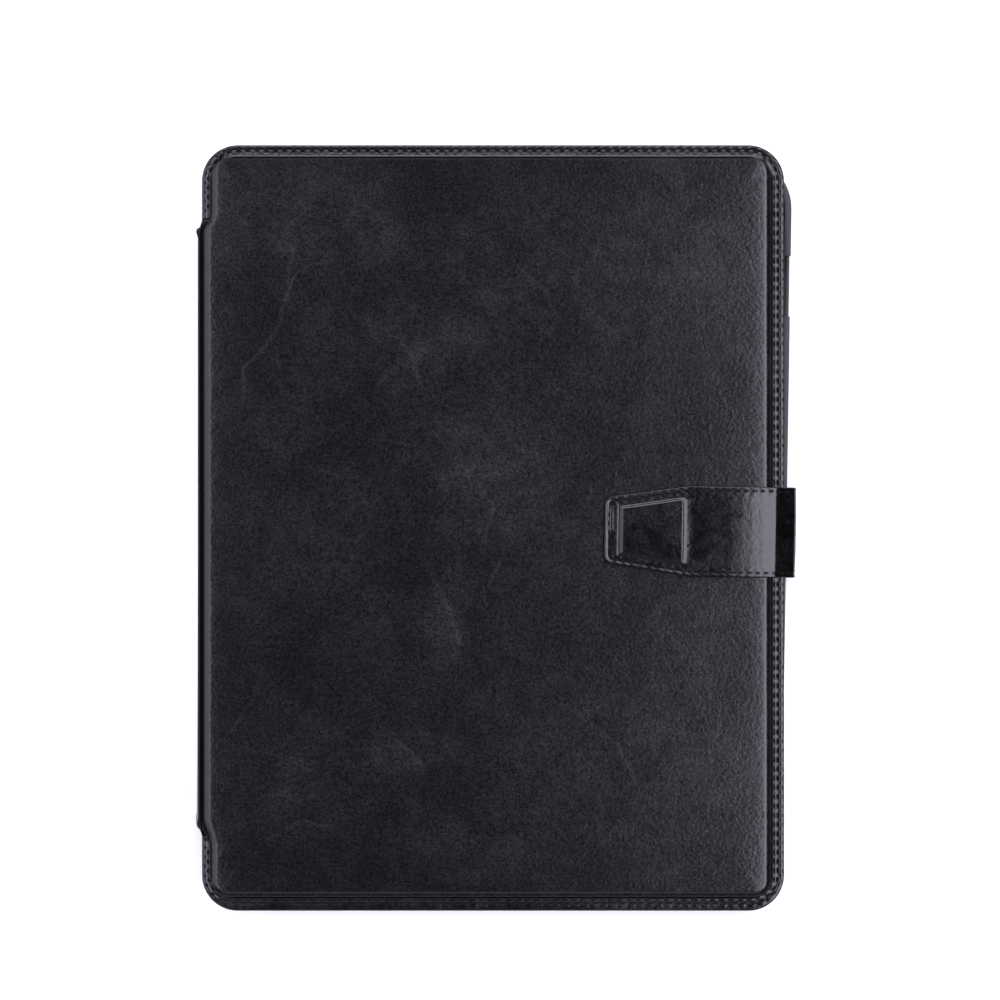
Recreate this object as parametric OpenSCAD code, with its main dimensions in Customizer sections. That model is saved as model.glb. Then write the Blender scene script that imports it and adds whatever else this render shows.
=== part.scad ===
// Folio tablet case: leather front cover, spine and back, snap-in tray and
// a magnetic closing strap. The case lies closed on its back.
// X is across the case, Y along its height, +Z up through the closed cover.
// The origin is the centre of the tray, on the outer face of the back.

/* [Tablet] */
// Width of the tablet that the tray holds
tablet_w = 214.9; // [212:0.1:215.2]
// Length of the tablet that the tray holds
tablet_l = 280.6; // [276:0.1:281.2]
// Thickness of the tablet
tablet_t = 6.4; // [5.9:0.1:7.5]
// Corner radius of the tablet
tablet_r = 17.5; // [14:0.5:20]

/* [Tray] */
// Free space between the tablet and each tray wall
tray_gap = 0.2; // [0.1:0.05:0.3]
// Thickness of the tray's side walls
tray_wall = 1.65; // [1.4:0.05:1.7]
// Thickness of the tray floor
tray_floor = 1.2; // [1:0.1:1.6]
// Thickness of the snap lip above the tablet
lip_t = 0.8; // [0.6:0.1:1]
// How far the snap lip reaches over the tablet's edge
lip_over = 0.9; // [0.5:0.1:1.4]
// Side of the square camera window
camera_w = 36; // [30:1:38]
// Corner radius of the camera window
camera_r = 6; // [4:0.5:8]

/* [Layers] */
// Thickness of the outer leather
leather_t = 1.1; // [1:0.1:1.2]
// Thickness of the microfibre lining
lining_t = 0.6; // [0.5:0.1:0.7]
// Thickness of the board in the back
back_board_t = 1.6; // [1.5:0.1:2]
// Thickness of the board in the front cover
front_board_t = 1.2; // [1:0.1:1.6]
// Thickness of the foam under the front leather
foam_t = 1; // [0.8:0.1:1.6]
// Thickness of the bond between the back and the tray
bond_t = 0.2; // [0.1:0.05:0.3]

/* [Front cover] */
// Width of the front cover
cover_w = 220.5; // [220:0.1:221]
// Length of the front cover
cover_l = 290; // [286:0.5:292]
// Corner radius of the front cover
cover_r = 13.6; // [12:0.2:16]
// Width of the flat stitched border around the padded panel
border_w = 5.5; // [5:0.1:6.5]
// Turn of the closed cover against the back, as the soft spine lets it lie
cover_turn = 0.9; // [0:0.1:1]
// Sideways offset of the closed cover against the tray
cover_shift = -2; // [-2.4:0.1:-1.9]

/* [Spine] */
// Length of the leather hinge along the spine
spine_l = 228; // [200:1:232]

/* [Back] */
// Width of the back panel
back_w = 220.2; // [219.5:0.1:220.4]
// Length of the back panel
back_l = 284; // [280:0.5:286]
// Corner radius of the back panel
back_r = 18; // [15:0.5:20]

/* [Strap] */
// Width of the strap
strap_w = 34.3; // [30:0.1:38]
// Width of the strap's tapered tip
tip_w = 26; // [22:0.5:28]
// Where the tip ends, measured from the tray's centre line
tip_x = 40; // [30:0.5:48]
// Where the taper ends and the strap is full width
taper_x = 71.8; // [66:0.2:78]
// Height that the pad over the magnet stands up
pad_rise = 0.8; // [0.5:0.1:1]

/* [Stitching] */
// Distance of the seam from the edge
seam_in = 2.4; // [2:0.1:2.8]
// Width of the seam thread
thread_w = 0.6; // [0.5:0.05:0.7]

/* [Hidden] */
$fn = 48;
clear = 0.3;              // running space between bodies
glue = 0.05;              // glue line between loose layers
groove_d = 0.25;          // depth of the seam groove
bead = leather_t / 2;     // the leather turns on its own mid-line

// heights, from the table up
back_top = leather_t;
board_top = back_top + back_board_t;
deck = board_top + lining_t;
tray_z = deck + bond_t;
bay_z = tray_z + tray_floor;
bay_top = bay_z + tablet_t + 0.1;
lip_top = bay_top + lip_t;
cover_z = lip_top + clear;
cover_in = cover_z + lining_t;
fboard_top = cover_in + front_board_t;
foam_top = fboard_top + foam_t;
border_top = cover_in + leather_t;
panel_top = foam_top + leather_t;
tab_z = panel_top + clear;
tab_in = tab_z + lining_t;
tab_top = tab_in + leather_t;

// tray plan
bay_w = tablet_w + 2 * tray_gap;
bay_l = tablet_l + 2 * tray_gap;
bay_r = tablet_r + tray_gap;
tray_w = bay_w + 2 * tray_wall;
tray_l = bay_l + 2 * tray_wall;
tray_r = bay_r + tray_wall;
camera_x = tablet_w / 2 - 25;
camera_y = tablet_l / 2 - 25.3;

// back plan: its right edge keeps just inside the tray's
back_x = -1.1;
back_crease_x = back_x - back_w / 2 - 1.6;
back_crease_z = leather_t / 2;

// front crease, in the front cover's own turned frame
front_crease_x = -cover_w / 2 - 1;
front_crease_z = cover_in + leather_t / 2;
hinge_cut = front_crease_x + bead + clear;

// strap path, at the middle of its leather: root, side, shoulder, top crease
root_z = back_top + leather_t / 2;
side_x = 112.25;
shoulder_z = border_top;
top_x = 105.2;
top_z = tab_in + leather_t / 2;
lean = atan2(side_x - top_x, top_z - shoulder_z);
lean_l = norm([side_x - top_x, top_z - shoulder_z]);
line_off = leather_t / 2 + lining_t / 2;
root_x = 84;

// ---------- shared shapes ----------

module rrect(w, l, r) {
    square([w - 2 * r, l], center = true);
    square([w, l - 2 * r], center = true);
    for (sx = [-1, 1], sy = [-1, 1])
        translate([sx * (w / 2 - r), sy * (l / 2 - r)]) circle(r);
}

module slab(w, l, r, z0, z1)
    translate([0, 0, z0]) linear_extrude(z1 - z0) rrect(w, l, r);

module inset_slab(w, l, r, inset, z0, z1)
    slab(w - 2 * inset, l - 2 * inset, r - inset, z0, z1);

// a seam line: a flat ring along the outline, a set distance inside it
module seam_ring(w, l, r, inset, width, z0, z1)
    translate([0, 0, z0]) linear_extrude(z1 - z0) difference() {
        rrect(w - 2 * inset + width, l - 2 * inset + width, r - inset + width / 2);
        rrect(w - 2 * inset - width, l - 2 * inset - width, r - inset - width / 2);
    }

module camera_hole(grow, z0, z1)
    translate([camera_x, camera_y, 0])
        slab(camera_w + 2 * grow, camera_w + 2 * grow, camera_r + grow, z0, z1);

module on_back() translate([back_x, 0, 0]) children();

module on_cover()
    translate([cover_shift, 0, 0]) rotate([0, 0, cover_turn]) children();

// ---------- back ----------

module back_leather() color("#1b1b1e")
    difference() {
        on_back() slab(back_w, back_l, back_r, 0, back_top);
        camera_hole(0, -1, back_top + 1);
        on_back() seam_ring(back_w, back_l, back_r, seam_in, thread_w + 0.3, -1, groove_d);
        translate([camera_x, camera_y, 0])
            seam_ring(camera_w + 5, camera_w + 5, camera_r + 2.5, 0, thread_w + 0.3, -1, groove_d);
    }

// pocket in the inside of the back for the root of the strap
module root_pocket()
    translate([root_x - 0.3, -strap_w / 2 - 0.2, back_top - 0.01])
        cube([60, strap_w + 0.4, leather_t + 0.06]);

module back_board() color("#8c8474")
    difference() {
        on_back() inset_slab(back_w, back_l, back_r, 4, back_top, board_top);
        camera_hole(1.5, 0, board_top + 1);
        root_pocket();
    }

module back_lining() color("#2c2c31")
    difference() {
        union() {
            on_back() slab(back_w, back_l, back_r, back_top, back_top + lining_t);
            on_back() inset_slab(back_w, back_l, back_r, 3.4, back_top, deck);
        }
        difference() {
            on_back() inset_slab(back_w, back_l, back_r, 4, back_top - 1, board_top);
            camera_hole(1.5, 0, board_top + 1);
        }
        camera_hole(0, 0, deck + 1);
        root_pocket();
    }

module back_stitching() color("#0c0c0e") {
    difference() {
        on_back() seam_ring(back_w, back_l, back_r, seam_in, thread_w, 0.05, groove_d);
        translate([back_x - back_w / 2 - 1, -spine_l / 2, -1]) cube([6, spine_l, 3]);
    }
    translate([camera_x, camera_y, 0])
        seam_ring(camera_w + 5, camera_w + 5, camera_r + 2.5, 0, thread_w, 0.05, groove_d);
}

module tray_adhesive() color("#b9b6ad")
    difference() {
        slab(tray_w - 16, tray_l - 16, tray_r - 8, deck, tray_z);
        camera_hole(2, deck - 1, tray_z + 1);
    }

// ---------- tray ----------

// a notch through one wall, open at the top for a finger or a plug
module wall_notch(x, y, w, l, floor_z)
    translate([x - w / 2, y - l / 2, floor_z]) cube([w, l, 20]);

module tablet_tray() color("#26262a")
    difference() {
        slab(tray_w, tray_l, tray_r, tray_z, lip_top);
        slab(bay_w, bay_l, bay_r, bay_z, bay_top);
        inset_slab(bay_w, bay_l, bay_r, lip_over, bay_top - 1, lip_top + 1);
        camera_hole(0, tray_z - 1, bay_z + 1);
        // volume buttons on the right, power button at the top, port at the bottom
        wall_notch(tray_w / 2, 93.5, 8, 23, bay_z + 1);
        wall_notch(76, tray_l / 2, 19, 8, bay_z + 1);
        wall_notch(0, -tray_l / 2, 15, 8, bay_z + 1);
        // speaker slots at both ends
        for (sx = [-1, 1], sy = [-1, 1])
            translate([sx * 48 - 13, sy * tray_l / 2 - 4, bay_z + 1.8])
                cube([26, 8, 2.4]);
    }

module strap_root() color("#1b1b1e")
    translate([root_x, -strap_w / 2, back_top])
        cube([side_x - bead - clear - 0.05 - root_x, strap_w, leather_t]);

// ---------- spine ----------

function spine_x(t) = back_crease_x
    + t * (cover_shift + front_crease_x * cos(cover_turn) - back_crease_x);
function spine_y(t) = t * front_crease_x * sin(cover_turn);
function spine_z(t) = back_crease_z + t * (front_crease_z - back_crease_z);

// a line along the spine, t of the way from the back crease to the front one
module spine_line(t)
    translate([spine_x(t), spine_y(t), spine_z(t)])
        rotate([0, 0, t * cover_turn]) children();

module spine_rod(t, r)
    spine_line(t) rotate([90, 0, 0]) cylinder(h = spine_l, r = r, center = true);

// a point beside the spine's middle surface: t up the spine, s along it, off to the inside
function spine_pt(t, s, off) = let (a = t * cover_turn) [
    spine_x(t) + off * cos(a) - s * sin(a),
    spine_y(t) + off * sin(a) + s * cos(a),
    spine_z(t)
];

// a sheet that follows the spine's slight twist, between the heights t0 and t1
// and the offsets o0 and o1, in steps along its length l
module twisted_sheet(t0, t1, o0, o1, l, steps = 24) {
    pts = [for (i = [0:steps]) let (s = l * (i / steps - 0.5))
        each [spine_pt(t0, s, o0), spine_pt(t0, s, o1), spine_pt(t1, s, o1), spine_pt(t1, s, o0)]];
    sides = [for (i = [0:steps - 1], k = [0:3]) let (a = 4 * i + k, b = 4 * i + (k + 1) % 4)
        each [[a, b, b + 4], [a, b + 4, a + 4]]];
    e = 4 * steps;
    polyhedron(pts, concat(sides,
        [[0, 2, 1], [0, 3, 2], [e, e + 1, e + 2], [e, e + 2, e + 3]]), convexity = 4);
}

module spine_leather() color("#1b1b1e") {
    twisted_sheet(0, 1, -0.5, 0.5, spine_l - 0.6);
    spine_rod(0, bead);
    spine_rod(1, bead);
}

module spine_board() color("#3a3a3e")
    twisted_sheet(0.14, 0.84, bead + glue, bead + glue + 0.4, spine_l - 4);

module spine_lining() color("#2c2c31")
    twisted_sheet(0.1, 0.86, bead + 0.4 + 2 * glue, bead + 0.85 + 2 * glue, spine_l - 1);

// ---------- front cover ----------

module hinge_clear(x, z0, z1)
    translate([x - 20, -spine_l / 2 - 0.5, z0]) cube([20, spine_l + 1, z1 - z0]);

module front_leather() color("#1b1b1e") on_cover()
    difference() {
        union() {
            slab(cover_w, cover_l, cover_r, cover_in, border_top);
            inset_slab(cover_w, cover_l, cover_r, border_w, cover_in, panel_top - 0.8);
            inset_slab(cover_w, cover_l, cover_r, border_w + 1.4, cover_in, panel_top);
        }
        inset_slab(cover_w, cover_l, cover_r, border_w + 1.2, cover_in - 1, fboard_top);
        inset_slab(cover_w, cover_l, cover_r, border_w + 2.6, cover_in, foam_top);
        seam_ring(cover_w, cover_l, cover_r, seam_in, thread_w + 0.3,
                  border_top - groove_d, border_top + 1);
        hinge_clear(hinge_cut, cover_in - 1, border_top + 1);
    }

module front_foam() color("#4a4a4c") on_cover()
    inset_slab(cover_w, cover_l, cover_r, border_w + 2.6, fboard_top, foam_top);

module front_board() color("#8c8474") on_cover()
    difference() {
        inset_slab(cover_w, cover_l, cover_r, border_w + 1.2, cover_in, fboard_top);
        catch_pocket(0.1);
        for (s = [-1, 1]) wake_pocket(s, 0.1);
    }

module front_lining() color("#2c2c31") on_cover()
    difference() {
        slab(cover_w, cover_l, cover_r, cover_z, cover_in);
        hinge_clear(hinge_cut + 0.25, cover_z - 1, cover_in + 1);
    }

module front_stitching() color("#0c0c0e") on_cover()
    difference() {
        seam_ring(cover_w, cover_l, cover_r, seam_in, thread_w,
                  border_top - groove_d, border_top - 0.05);
        translate([-cover_w / 2 - 1, -spine_l / 2 + 1, border_top - 1])
            cube([6, spine_l - 2, 3]);
    }

catch_t = 0.5;
module catch_pocket(grow)
    translate([48 - grow, -14 - grow, fboard_top - catch_t])
        cube([30 + 2 * grow, 28 + 2 * grow, catch_t + grow]);

module front_catch_plate() color("#9a9a9c") on_cover()
    catch_pocket(0);

module wake_pocket(s, grow)
    translate([cover_w / 2 - 14 - grow, s * 60 - 5 - grow, fboard_top - 0.8])
        cube([4 + 2 * grow, 10 + 2 * grow, 0.8 + grow]);

module wake_magnets() color("#b4b4b6") on_cover()
    for (s = [-1, 1]) wake_pocket(s, 0);

// ---------- strap ----------

// section of the strap's side: a band of thickness t at a distance off
// outwards from the middle of the leather, between the heights z0 and z1
module side_section(off, t, z0, l1) {
    kink = shoulder_z - off * tan(lean / 2) * -1;
    translate([side_x + off - t / 2, z0]) square([t, kink - z0]);
    translate([side_x + off, kink]) circle(t / 2);
    translate([side_x + off, kink]) rotate(lean)
        translate([-t / 2, 0]) square([t, l1]);
}

// drawn in X and Z, then drawn out along Y
module along_y(w)
    translate([0, w / 2, 0]) rotate([90, 0, 0]) linear_extrude(w) children();

module strap_side_leather() color("#1b1b1e")
    along_y(strap_w) {
        side_section(0, leather_t, root_z, lean_l);
        translate([side_x, root_z]) circle(bead);
        translate([top_x, top_z]) circle(bead);
    }

module strap_side_lining() color("#2c2c31")
    along_y(strap_w - 1) side_section(-line_off, lining_t, root_z + 1.3, lean_l - 1.6);

module strap_side_stitching() color("#0c0c0e")
    for (s = [-1, 1])
        translate([0, s * (strap_w / 2 - 1.8), 0])
            along_y(thread_w) side_section(leather_t / 2 + 0.08, 0.16, root_z + 1.2, lean_l - 1.2);

tab_x = top_x - bead - clear;

module tab_outline(inset)
    hull() {
        for (s = [-1, 1])
            translate([tip_x + 3, s * (tip_w / 2 - 3)]) circle(3 - inset, $fn = 40);
        translate([taper_x, -strap_w / 2 + inset])
            square([tab_x - taper_x - inset, strap_w - 2 * inset]);
    }

// the raised pad over the magnet, narrower at the tip
module pad_outline(inset)
    hull() {
        translate([tip_x + 6.2 + inset, -tip_w / 2 + 4.6 + inset])
            square([0.5, tip_w - 9.2 - 2 * inset]);
        translate([tip_x + 29 - inset, -strap_w / 2 + 4.8 + inset])
            square([0.5, strap_w - 9.6 - 2 * inset]);
    }

module strap_tab_leather() color("#1b1b1e")
    difference() {
        union() {
            translate([0, 0, tab_in]) linear_extrude(leather_t) tab_outline(0);
            translate([0, 0, tab_in]) linear_extrude(leather_t + pad_rise) pad_outline(0);
        }
        translate([0, 0, tab_in - 1]) linear_extrude(1 + pad_rise) pad_outline(1);
    }

module strap_tab_lining() color("#2c2c31")
    translate([0, 0, tab_z]) linear_extrude(lining_t) tab_outline(0.3);

module magnet_window(grow)
    translate([tip_x + 11 - grow, -6 - grow, tab_in - (grow > 0 ? 1 : 0)])
        cube([14 + 2 * grow, 12 + 2 * grow, pad_rise + (grow > 0 ? 2 : 0)]);

module magnet_pad() color("#5a5a5e")
    difference() {
        translate([0, 0, tab_in]) linear_extrude(pad_rise) pad_outline(1.1);
        magnet_window(0.1);
    }

module strap_magnet() color("#b4b4b6") magnet_window(0);

module strap_tab_stitching() color("#0c0c0e")
    translate([0, 0, tab_top]) linear_extrude(0.15) difference() {
        tab_outline(1.5);
        tab_outline(1.5 + thread_w);
        translate([tab_x - 4, -strap_w / 2 + 1.5 + thread_w])
            square([6, strap_w - 3 - 2 * thread_w]);
    }

back_leather();
back_board();
back_lining();
back_stitching();
tray_adhesive();
tablet_tray();
strap_root();
spine_leather();
spine_board();
spine_lining();
front_leather();
front_foam();
front_board();
front_lining();
front_stitching();
front_catch_plate();
wake_magnets();
strap_side_leather();
strap_side_lining();
strap_side_stitching();
strap_tab_leather();
strap_tab_lining();
strap_magnet();
magnet_pad();
strap_tab_stitching();
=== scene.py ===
import math

import bmesh
import bpy
import numpy as np
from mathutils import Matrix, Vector


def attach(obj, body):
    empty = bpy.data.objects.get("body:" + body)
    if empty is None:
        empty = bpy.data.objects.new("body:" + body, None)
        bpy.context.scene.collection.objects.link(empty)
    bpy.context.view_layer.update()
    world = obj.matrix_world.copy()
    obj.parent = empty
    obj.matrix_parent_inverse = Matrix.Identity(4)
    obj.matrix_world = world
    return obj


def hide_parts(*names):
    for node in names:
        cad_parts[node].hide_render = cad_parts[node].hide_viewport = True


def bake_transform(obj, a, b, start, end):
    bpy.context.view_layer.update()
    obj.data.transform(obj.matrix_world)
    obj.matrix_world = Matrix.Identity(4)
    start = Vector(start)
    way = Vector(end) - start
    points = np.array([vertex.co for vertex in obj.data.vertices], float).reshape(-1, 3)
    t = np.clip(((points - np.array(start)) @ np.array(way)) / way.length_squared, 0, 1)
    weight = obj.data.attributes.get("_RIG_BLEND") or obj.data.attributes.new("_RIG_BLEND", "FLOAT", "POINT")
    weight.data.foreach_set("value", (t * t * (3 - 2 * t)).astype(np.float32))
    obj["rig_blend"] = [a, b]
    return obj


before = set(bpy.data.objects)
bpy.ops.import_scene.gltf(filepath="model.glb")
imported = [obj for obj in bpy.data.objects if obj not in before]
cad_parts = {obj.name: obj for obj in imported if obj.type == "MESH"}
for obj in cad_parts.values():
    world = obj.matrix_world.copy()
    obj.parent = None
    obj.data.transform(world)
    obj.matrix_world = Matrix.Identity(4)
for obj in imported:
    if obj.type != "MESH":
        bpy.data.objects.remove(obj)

scene = bpy.context.scene
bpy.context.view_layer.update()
MM = 0.001

# ---------------------------------------------------------------- camera
cam_data = bpy.data.cameras.new("camera")
cam_data.lens = 142.6
cam_data.sensor_width = 36
cam_data.clip_end = 20
cam = bpy.data.objects.new("camera", cam_data)
scene.collection.objects.link(cam)
cam.location = (0.00048, 0.01064, 1.514)
cam.rotation_euler = (0, 0, math.radians(0.9))
scene.camera = cam
scene.view_settings.view_transform = "Standard"

# ---------------------------------------------------------------- the case's numbers, in mm
TURN = math.radians(0.9)
SHIFT = -2.0
CW, CL, CR = 220.5, 290.0, 13.6          # front cover
BX, BW, BL, BR = -1.1, 220.2, 284.0, 18.0  # back
BACK_CREASE = (-112.8, 0.55)
FRONT_CREASE = -111.25                    # in the cover's frame
BORDER_Z, PANEL_Z = 14.0, 16.2
HINGE_Y = 116.6                           # where the border gives way to the hinge
SPINE_END = 113.4
CAMX, CAMY = 82.45, 115.0
STRAP_W = 34.3


def sm(x):
    x = np.clip(x, 0.0, 1.0)
    return x * x * (3 - 2 * x)


def on_cover(x, y, z):
    return np.stack([SHIFT + x * math.cos(TURN) - y * math.sin(TURN), x * math.sin(TURN) + y * math.cos(TURN), z], -1)


def on_back(x, y, z):
    return np.stack([x + BX, y, z], -1)


def spine_pt(t, s, off):
    a = t * TURN
    fx = SHIFT + FRONT_CREASE * math.cos(TURN)
    fy = FRONT_CREASE * math.sin(TURN)
    x = BACK_CREASE[0] + t * (fx - BACK_CREASE[0]) + off * np.cos(a) - s * np.sin(a)
    y = t * fy + off * np.sin(a) + s * np.cos(a)
    z = 0.55 + t * (13.45 - 0.55)
    return np.stack(np.broadcast_arrays(x, y, z), -1)


def vnoise(x, y, cell, seed):
    r = np.random.default_rng(seed).random((256, 256))
    u, v = x / cell + 90.0, y / cell + 90.0
    i, j = np.floor(u).astype(int), np.floor(v).astype(int)
    fu, fv = sm(u - i), sm(v - j)
    i, j = i % 255, j % 255
    return (r[i, j] * (1 - fu) + r[i + 1, j] * fu) * (1 - fv) + (r[i, j + 1] * (1 - fu) + r[i + 1, j + 1] * fu) * fv


# ---------------------------------------------------------------- mesh helpers
def grid_faces(n, m, wrap_n=False, wrap_m=False, base=0):
    i, j = np.arange(n if wrap_n else n - 1), np.arange(m if wrap_m else m - 1)
    i, j = np.meshgrid(i, j, indexing="ij")
    i2, j2 = (i + 1) % n, (j + 1) % m
    return (np.stack([i * m + j, i2 * m + j, i2 * m + j2, i * m + j2], -1).reshape(-1, 4) + base).tolist()


def make(name, verts, faces, material, attrs=None, weld=0.0, smooth=True):
    """A mesh object from points in mm; keeps the rest position for its textures."""
    me = bpy.data.meshes.new(name)
    me.from_pydata((np.asarray(verts, float) * MM).tolist(), [], faces)
    for key, values in (attrs or {}).items():
        a = me.attributes.new(key, "FLOAT", "POINT")
        a.data.foreach_set("value", np.asarray(values, np.float32).ravel())
    bm = bmesh.new()
    bm.from_mesh(me)
    if weld:
        bmesh.ops.remove_doubles(bm, verts=bm.verts, dist=weld * MM)
    bmesh.ops.recalc_face_normals(bm, faces=bm.faces)
    bm.to_mesh(me)
    bm.free()
    keep_rest(me)
    if smooth:
        me.shade_smooth()
    ob = bpy.data.objects.new(name, me)
    scene.collection.objects.link(ob)
    me.materials.append(material)
    return ob


def keep_rest(me):
    co = np.zeros(len(me.vertices) * 3, np.float32)
    me.vertices.foreach_get("co", co)
    a = me.attributes.get("rest") or me.attributes.new("rest", "FLOAT_VECTOR", "POINT")
    a.data.foreach_set("vector", co)


# ---------------------------------------------------------------- materials
class Nodes:
    def __init__(self, name, source="rest"):
        self.m = bpy.data.materials.new(name)
        self.m.use_nodes = True
        self.t = self.m.node_tree
        self.t.nodes.clear()
        self.out = self.t.nodes.new("ShaderNodeOutputMaterial")
        self.b = self.t.nodes.new("ShaderNodeBsdfPrincipled")
        self.t.links.new(self.b.outputs[0], self.out.inputs["Surface"])
        if source == "rest":
            n = self.t.nodes.new("ShaderNodeAttribute")
            n.attribute_name = "rest"
            self.p = n.outputs["Vector"]
        else:
            self.p = self.t.nodes.new("ShaderNodeTexCoord").outputs["Object"]
        self.normal = None

    def link(self, a, b):
        self.t.links.new(a, b)

    def noise(self, scale, detail=3, rough=0.55, dist=0.0, vec=None, out="Fac"):
        n = self.t.nodes.new("ShaderNodeTexNoise")
        n.inputs["Scale"].default_value = scale
        n.inputs["Detail"].default_value = detail
        n.inputs["Roughness"].default_value = rough
        n.inputs["Distortion"].default_value = dist
        self.link(vec or self.p, n.inputs["Vector"])
        return n.outputs[0 if out == "Fac" else 1]

    def voronoi(self, scale, feature="F1", vec=None, rand=1.0, out="Distance"):
        n = self.t.nodes.new("ShaderNodeTexVoronoi")
        n.feature = feature
        n.inputs["Scale"].default_value = scale
        n.inputs["Randomness"].default_value = rand
        self.link(vec or self.p, n.inputs["Vector"])
        return n.outputs[out]

    def stretch(self, x, y, z, rot=0.0):
        n = self.t.nodes.new("ShaderNodeMapping")
        n.inputs["Scale"].default_value = (x, y, z)
        n.inputs["Rotation"].default_value = (0, 0, rot)
        self.link(self.p, n.inputs["Vector"])
        return n.outputs[0]

    def attr(self, name):
        n = self.t.nodes.new("ShaderNodeAttribute")
        n.attribute_name = name
        return n.outputs["Fac"]

    def math(self, op, a, b=0.0, c=None, clamp=False):
        n = self.t.nodes.new("ShaderNodeMath")
        n.operation = op
        n.use_clamp = clamp
        for k, v in enumerate([a, b] + ([c] if c is not None else [])):
            if isinstance(v, (int, float)):
                n.inputs[k].default_value = v
            else:
                self.link(v, n.inputs[k])
        return n.outputs[0]

    def span(self, v, a, b, lo=0.0, hi=1.0, smooth=True):
        n = self.t.nodes.new("ShaderNodeMapRange")
        n.interpolation_type = "SMOOTHSTEP" if smooth else "LINEAR"
        n.inputs["From Min"].default_value = a
        n.inputs["From Max"].default_value = b
        n.inputs["To Min"].default_value = lo
        n.inputs["To Max"].default_value = hi
        self.link(v, n.inputs["Value"])
        return n.outputs[0]

    def mix(self, fac, a, b):
        n = self.t.nodes.new("ShaderNodeMix")
        n.data_type = "RGBA"
        for key, v in ((0, fac), (6, a), (7, b)):
            if isinstance(v, (int, float)):
                n.inputs[key].default_value = v
            elif isinstance(v, tuple):
                n.inputs[key].default_value = (*v, 1.0)
            else:
                self.link(v, n.inputs[key])
        return n.outputs[2]

    def bump(self, height, distance, strength=1.0):
        n = self.t.nodes.new("ShaderNodeBump")
        n.inputs["Distance"].default_value = distance
        n.inputs["Strength"].default_value = strength
        self.link(height, n.inputs["Height"])
        if self.normal is not None:
            self.link(self.normal, n.inputs["Normal"])
        self.normal = n.outputs[0]

    def done(self, color, rough, **sockets):
        if isinstance(color, tuple):
            self.b.inputs["Base Color"].default_value = (*color, 1.0)
        else:
            self.link(color, self.b.inputs["Base Color"])
        if isinstance(rough, (int, float)):
            self.b.inputs["Roughness"].default_value = rough
        else:
            self.link(rough, self.b.inputs["Roughness"])
        if self.normal is not None:
            self.link(self.normal, self.b.inputs["Normal"])
        for key, v in sockets.items():
            self.b.inputs[key.replace("_", " ")].default_value = v
        return self.m


def leather(name, source="rest", smudges=False, gloss=0.0, light=1.0, veins=1.0, relief=1.0, cavity=False):
    n = Nodes(name, source)
    cloud = n.noise(36, 5, 0.62, 0.7)
    mottle = n.noise(170, 4, 0.62, 0.5)
    speck = n.noise(620, 3, 0.62)
    fine = n.noise(1300, 2, 0.6)
    grain = n.voronoi(820, "SMOOTH_F1")
    pores = n.voronoi(560, "F1")
    # long shallow draws in the hide
    draw = n.math("ABSOLUTE", n.math("SUBTRACT", n.noise(1.0, 3, 0.5, 0.35, n.stretch(17, 44, 30, 0.9)), 0.5))
    vein = n.math("MULTIPLY", n.span(draw, 0.0, 0.010, 1.0, 0.0), n.span(n.noise(22, 2, 0.5), 0.54, 0.70))
    patch = n.span(n.math("ADD", n.math("MULTIPLY", cloud, 0.6), n.math("MULTIPLY", mottle, 0.4)), 0.36, 0.72)
    # painted sheen: fixed lighter patches from the sheen attribute lift the tone and the roughness
    if smudges:
        patch = n.math("ADD", n.math("MULTIPLY", patch, 0.38), n.attr("smudge"), clamp=True)
    tone = n.math("ADD", n.math("MULTIPLY", patch, 0.85), n.math("MULTIPLY", vein, 0.10 * veins), clamp=True)
    # the grain's own tone: pale tops and dark pits, stronger where the tone and the painted sheen are lighter
    tops = n.span(n.math("ADD", n.math("MULTIPLY", speck, 0.5), n.math("MULTIPLY", fine, 0.5)), 0.38, 0.62, 0.0, 1.0, smooth=False)
    tone = n.math("MULTIPLY", n.math("ADD", tone, 0.22), n.math("ADD", n.math("MULTIPLY", tops, 0.92), 0.08), clamp=True)
    base = n.mix(tone, (0.0005 * light, 0.0005 * light, 0.0009 * light), (0.027 * light, 0.0267 * light, 0.0303 * light))
    rough = n.math("ADD", n.span(patch, 0.0, 1.0, 0.215 - gloss, 0.300 - gloss), n.span(fine, 0.3, 0.7, -0.03, 0.03))
    n.bump(n.math("SUBTRACT", n.math("MULTIPLY", grain, 1.0), n.math("MULTIPLY", n.span(pores, 0.0, 0.18, 1.0, 0.0), 0.35)), 0.00008 * relief, 0.50)
    n.bump(n.math("ADD", n.math("MULTIPLY", mottle, 0.8), n.math("ADD", n.math("MULTIPLY", speck, 0.26), n.math("MULTIPLY", fine, 0.10))), 0.00020 * relief, 0.5)
    n.bump(n.math("MULTIPLY", vein, -1.0), 0.00004, 0.35 * veins)
    if cavity:                                # painted shade: seams, grooves, the crease and the panel's edge get a darker colour and a rougher, weaker reflection that stand in for shade
        cav = n.attr("cavity")
        base = n.mix(cav, base, (0.0006, 0.0006, 0.0009))
        rough = n.math("ADD", rough, n.math("MULTIPLY", cav, 0.22))
        n.link(n.math("SUBTRACT", 0.5, n.math("MULTIPLY", cav, 0.38)), n.b.inputs["Specular IOR Level"])
        return n.done(base, rough, Coat_Weight=0.04, Coat_Roughness=0.25, IOR=1.5)
    return n.done(base, rough, Specular_IOR_Level=0.5, Coat_Weight=0.06, Coat_Roughness=0.25, IOR=1.5)


def edge_paint(name):
    n = Nodes(name)
    f = n.noise(700, 3, 0.6)
    n.bump(f, 0.00008, 0.4)
    return n.done(n.mix(f, (0.006, 0.006, 0.007), (0.014, 0.014, 0.016)), n.span(f, 0.3, 0.7, 0.35, 0.5), Specular_IOR_Level=0.5)


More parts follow.
